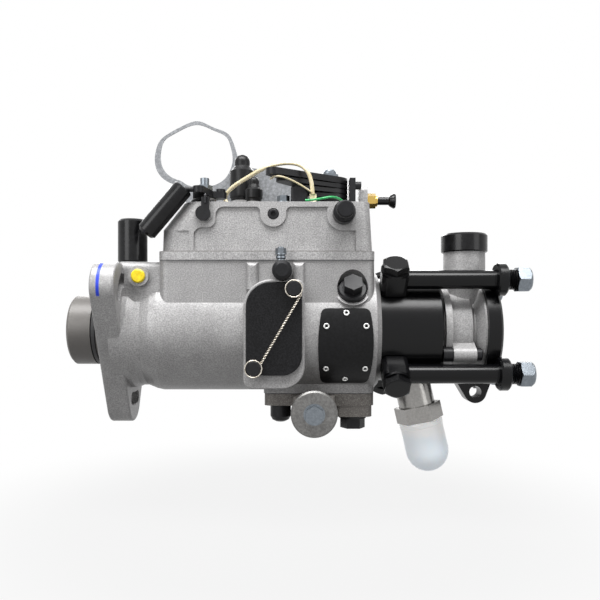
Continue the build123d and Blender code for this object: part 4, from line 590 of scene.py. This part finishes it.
stop_stud = Vector((0.0638, -0.014, 0))
spring_wire = 0.0007
spring_radius = 0.0083
spring_turns = 2.25
spring_foot = Vector((0, 0, 0.0808))
spring_top = Vector((0, 0, 0.0840))
leg_points = [(0.0638, -0.0223, 0.0838), (0.0662, -0.0290, 0.0839), (0.0674, -0.0340, 0.0839),
              (0.0678, -0.0385, 0.0840), (0.0678, -0.0404, 0.0834), (0.0678, -0.0406, 0.0810),
              (0.0678, -0.0402, 0.0785)]

spring_steel = grained_finish("oiled_spring_steel", {"Metallic": 0.6, "Roughness": 0.34},
                              grain_mm=1.25, stops=[(0.35, "#121213"), (0.75, "#3c3c3f")],
                              noise={"Detail": 4.0})
stop_turns = coil("stop_spring_turns", spring_radius, spring_wire, stop_stud + spring_foot,
                  stop_stud + spring_top, spring_turns)
finish_piece(stop_turns, "pump", spring_steel)
stop_leg = wire_curve("stop_spring_leg", leg_points, spring_wire)
finish_piece(stop_leg, "pump", spring_steel)

# Advance unit.
# Sand casting in a darker alloy, bolted under the barrel and stained brown by test oil. The sand leaves
# it rougher than the housing.

sand_mm = 0.7
stained, tree, shader, place = finish_material("oil_stained_casting", {"Metallic": 0.35})
colour, height = cast_grain(tree, place, sand_mm, [(0.30, "#57534f"), (0.52, "#75716d"), (0.72, "#96928d")])
tree.links.new(colour, shader.inputs["Base Color"])
wear(tree, shader, height, gloss=(0.45, 0.65), relief=(0.45, 0.0004))
paint("advance_housing", stained)

# Advance unit's end plugs.
# The same metal, turned and screwed into both ends of the cylinder: smoother, grey and half bright.

turned_plug = grained_finish("turned_stained_plug", {"Metallic": 0.8, "Roughness": 0.4},
                             grain_mm=1.43, stops=[(0.3, "#5c5b5a"), (0.7, "#838280")],
                             noise={"Detail": 5.0, "Roughness": 0.7}, relief=(0.2, 0.0002))
paint("advance_plugs", turned_plug)

# Hydraulic head, banjo bolts and support ring.
# Ground steel blackened in a hot bath: deep satin black with an even sheen.

sheen_mm = 0.909
sheen_stops = [(0.35, "#030304"), (0.75, "#09090b")]
sheen_noise = {"Detail": 5.0, "Roughness": 0.7}
blackened = grained_finish("blackened_steel", {"IOR": 1.5, "Specular IOR Level": 0.25}, sheen_mm, sheen_stops,
                           sheen_noise, gloss=(0.20, 0.30), relief=(0.08, 0.0002))
for name in ("hydraulic_head", "banjo_bolts", "support_ring"):
    paint(name, blackened)

# Delivery pipes.
# Steel tube with the head's finish. Each has a rolled thread of 1.5 mm pitch at its outlet end, drawn
# with the bump alone, because its V groove is less than a pixel deep.

thread_pitch = 0.0015
thread_x = (0.2555, 0.2690)
thread_depth = 0.0014
threaded, tree, shader, place = finish_material("blackened_steel_with_thread",
                                                {"IOR": 1.5, "Specular IOR Level": 0.23, "Roughness": 0.20})
sheen = add(tree, "TexNoise", {"Scale": 1000 / sheen_mm, **sheen_noise}, Vector=place)
colour = add(tree, "ValToRGB", {"stops": sheen_stops}, Fac=sheen.outputs["Fac"])
tree.links.new(colour.outputs[0], shader.inputs["Base Color"])
axes = add(tree, "SeparateXYZ", Vector=place)
turns = add(tree, "Math", {"operation": "MULTIPLY", 1: 1 / thread_pitch}, i0=axes.outputs["X"])
groove = add(tree, "Math", {"operation": "PINGPONG", 1: 0.5}, i0=turns.outputs[0])
cut = overlap(tree, groove.outputs[0], band_mask(tree, axes.outputs["X"], *thread_x, 0.0002))
wear(tree, shader, cut, relief=(1.0, thread_depth))
for index in range(1, 5):
    paint(f"delivery_pipe_{index}", threaded)

# End plate.
# Cast with the housing's alloy and blasted with it, then screwed over the transfer pump.

paint("end_plate", blasted)

# Drain union.
# Hexagon of free cutting steel, nickel plated and screwed in under the head: bright, with fine pits.

nickel = grained_finish("nickel_plate", {"Metallic": 0.6},
                        grain_mm=1.25, stops=[(0.3, "#918f8c"), (0.55, "#a5a3a0"), (0.8, "#bab8b4")],
                        noise={"Detail": 7.0, "Roughness": 0.75}, gloss=(0.16, 0.32), relief=(0.06, 0.0002))
paint("drain_union", nickel)

# Drain union's cap.
# Thin translucent polyethylene pushed over the union's nose, milky and faintly blue, with a whiter
# skirt. A weak emission in its own colour is painted light, so it glows a little by itself.

depth_mm = 16.7
skirt_z = (-0.0700, -0.0500)
milky, tree, shader, place = finish_material("translucent_polyethylene",
                                             {"Roughness": 0.34, "IOR": 1.5, "Subsurface Weight": 0.35,
                                              "Subsurface Radius": (0.004, 0.005, 0.006),
                                              "Emission Strength": 0.2})
depth = add(tree, "TexNoise", {"Scale": 1000 / depth_mm, "Detail": 3.0}, Vector=place)
axes = add(tree, "SeparateXYZ", Vector=place)
skirt = band_mask(tree, axes.outputs["Z"], *skirt_z, 0.0030)
milk = add(tree, "ValToRGB", {"stops": [(0.3, "#eaf3fd"), (0.7, "#f3f9ff")]}, Fac=depth.outputs["Fac"])
colour = add(tree, "Mix", {"data_type": "RGBA", 7: "#fdfdfc"}, i0=skirt, i6=milk.outputs[0]).outputs[2]
tree.links.new(colour, shader.inputs["Base Color"])
# Painted light: the cap's colour also feeds a weak emission of strength 0.2.
tree.links.new(colour, shader.inputs["Emission Color"])
wear(tree, shader, depth.outputs["Fac"], relief=(0.06, 0.0004))
paint("union_cap", milky)

# Working parts inside.
# Hardened steel, ground and lightly oiled, on every node whose slot is machine steel. The drive shaft
# runs in a bush of porous bronze.

ground = grained_finish("ground_steel", {"Metallic": 1.0, "Roughness": 0.25},
                        grain_mm=1.25, stops=[(0.3, "#77787b"), (0.7, "#b4b5b8")],
                        noise={"Detail": 6.0, "Roughness": 0.7})
bronze = grained_finish("bearing_bronze", {"Metallic": 1.0, "Roughness": 0.35},
                        grain_mm=1.11, stops=[(0.3, "#8a5f35"), (0.7, "#c08d55")],
                        noise={"Detail": 4.0})
for subpart in frame["record"]["subparts"]:
    if subpart["material_slot"] == "machine_steel" and subpart["node"] in nodes:
        paint(subpart["node"], ground)
paint("shaft_bush", bronze)

# Floor and backdrop.
# A plain white sweep of paper, a little darker under the pump. It lies 30 mm below, so that the union's
# cap can be pulled off above it.

middle_x = 0.124
floor_gap = 0.030
sweep_size = 4
shade_reach = (0.12, 0.30)   # from the pump's middle: grey inside, white outside
shade_white = 0.88


def looked_at(tree):
    """1 for rays from the camera, through glass or off a gloss, which see the backdrop white."""
    path = add(tree, "LightPath")
    direct = add(tree, "Math", {"operation": "MAXIMUM"}, i0=path.outputs["Is Camera Ray"],
                 i1=path.outputs["Is Transmission Ray"])
    return add(tree, "Math", {"operation": "MAXIMUM"}, i0=direct.outputs[0],
               i1=path.outputs["Is Glossy Ray"]).outputs[0]


white_sweep = bpy.data.materials.new("white_sweep")
white_sweep.use_nodes = True
tree = white_sweep.node_tree
tree.nodes.clear()
paper = add(tree, "BsdfDiffuse", {"Color": "#606060"})
glow = add(tree, "Emission", {"Color": "#ffffff", "Strength": 1.0})
reach = add(tree, "VectorMath", {"operation": "LENGTH"}, i0=add(tree, "TexCoord").outputs["Object"])
fade = add(tree, "MapRange", {"interpolation_type": "SMOOTHSTEP", "From Min": shade_reach[0],
                              "From Max": shade_reach[1], "To Min": shade_white, "To Max": 1.0},
           Value=reach.outputs["Value"])
share = overlap(tree, looked_at(tree), fade.outputs[0])
mixed = add(tree, "MixShader", Fac=share, i1=paper.outputs[0], i2=glow.outputs[0])
add(tree, "OutputMaterial", Surface=mixed.outputs[0])
clear_selection()
bpy.ops.mesh.primitive_plane_add(size=sweep_size, location=(middle_x, 0, cad_box[0][2] - floor_gap))
floor = bpy.context.object
floor.name = "floor"
floor.data.materials.append(white_sweep)

# Studio.
# A broad lamp overhead, a soft one from the front left, a weak fill from the right and a broad one
# behind. The room is white to the eye and dim as a light.

world = bpy.data.worlds.new("studio")
bpy.context.scene.world = world
world.use_nodes = True
tree = world.node_tree
tree.nodes.clear()
dim = add(tree, "Background", {"Color": "#ffffff", "Strength": 0.07})
bright = add(tree, "Background", {"Color": "#ffffff", "Strength": 1.0})
mixed = add(tree, "MixShader", Fac=looked_at(tree), i1=dim.outputs[0], i2=bright.outputs[0])
add(tree, "OutputWorld", Surface=mixed.outputs[0])


def lamp(name, position, target, size, power):
    """Soft rectangular studio lamp: its place, what it points at, its size in metres and its watts."""
    data = bpy.data.lights.new(name, "AREA")
    data.shape = "RECTANGLE"
    data.size, data.size_y = size
    data.energy = power
    holder = bpy.data.objects.new(name, data)
    bpy.context.collection.objects.link(holder)
    holder.location = position
    holder.rotation_euler = (Vector(target) - Vector(position)).to_track_quat("-Z", "Y").to_euler()


lamp("overhead", (0.06, -0.30, 0.75), (middle_x, 0, 0.02), (0.9, 0.35), 15.5)
lamp("front_left", (-0.45, -0.75, 0.30), (0.12, 0, 0.0), (0.5, 0.5), 3.2)
lamp("right_fill", (0.85, -0.55, 0.20), (0.15, 0, 0.0), (0.4, 0.6), 1.6)
lamp("rear", (0.12, 0.8, 0.45), (middle_x, 0, 0.03), (0.9, 0.5), 9.0)

# Camera.
# Square to the pump's side and near the height of the drive axis. The shifts put the pump in the middle
# of the picture without turning the camera.

camera_distance = 0.4378
camera_height = 0.00916
camera_data = bpy.data.cameras.new("camera")
camera_data.lens = 39.0
camera_data.sensor_width = 36.0
camera_data.shift_x = 0.005
camera_data.shift_y = 0.0267
camera = bpy.data.objects.new("camera", camera_data)
bpy.context.collection.objects.link(camera)
camera.location = (middle_x, -camera_distance, camera_height)
camera.rotation_euler = (math.pi / 2, 0, 0)
bpy.context.scene.camera = camera
bpy.context.scene.view_settings.view_transform = "Standard"
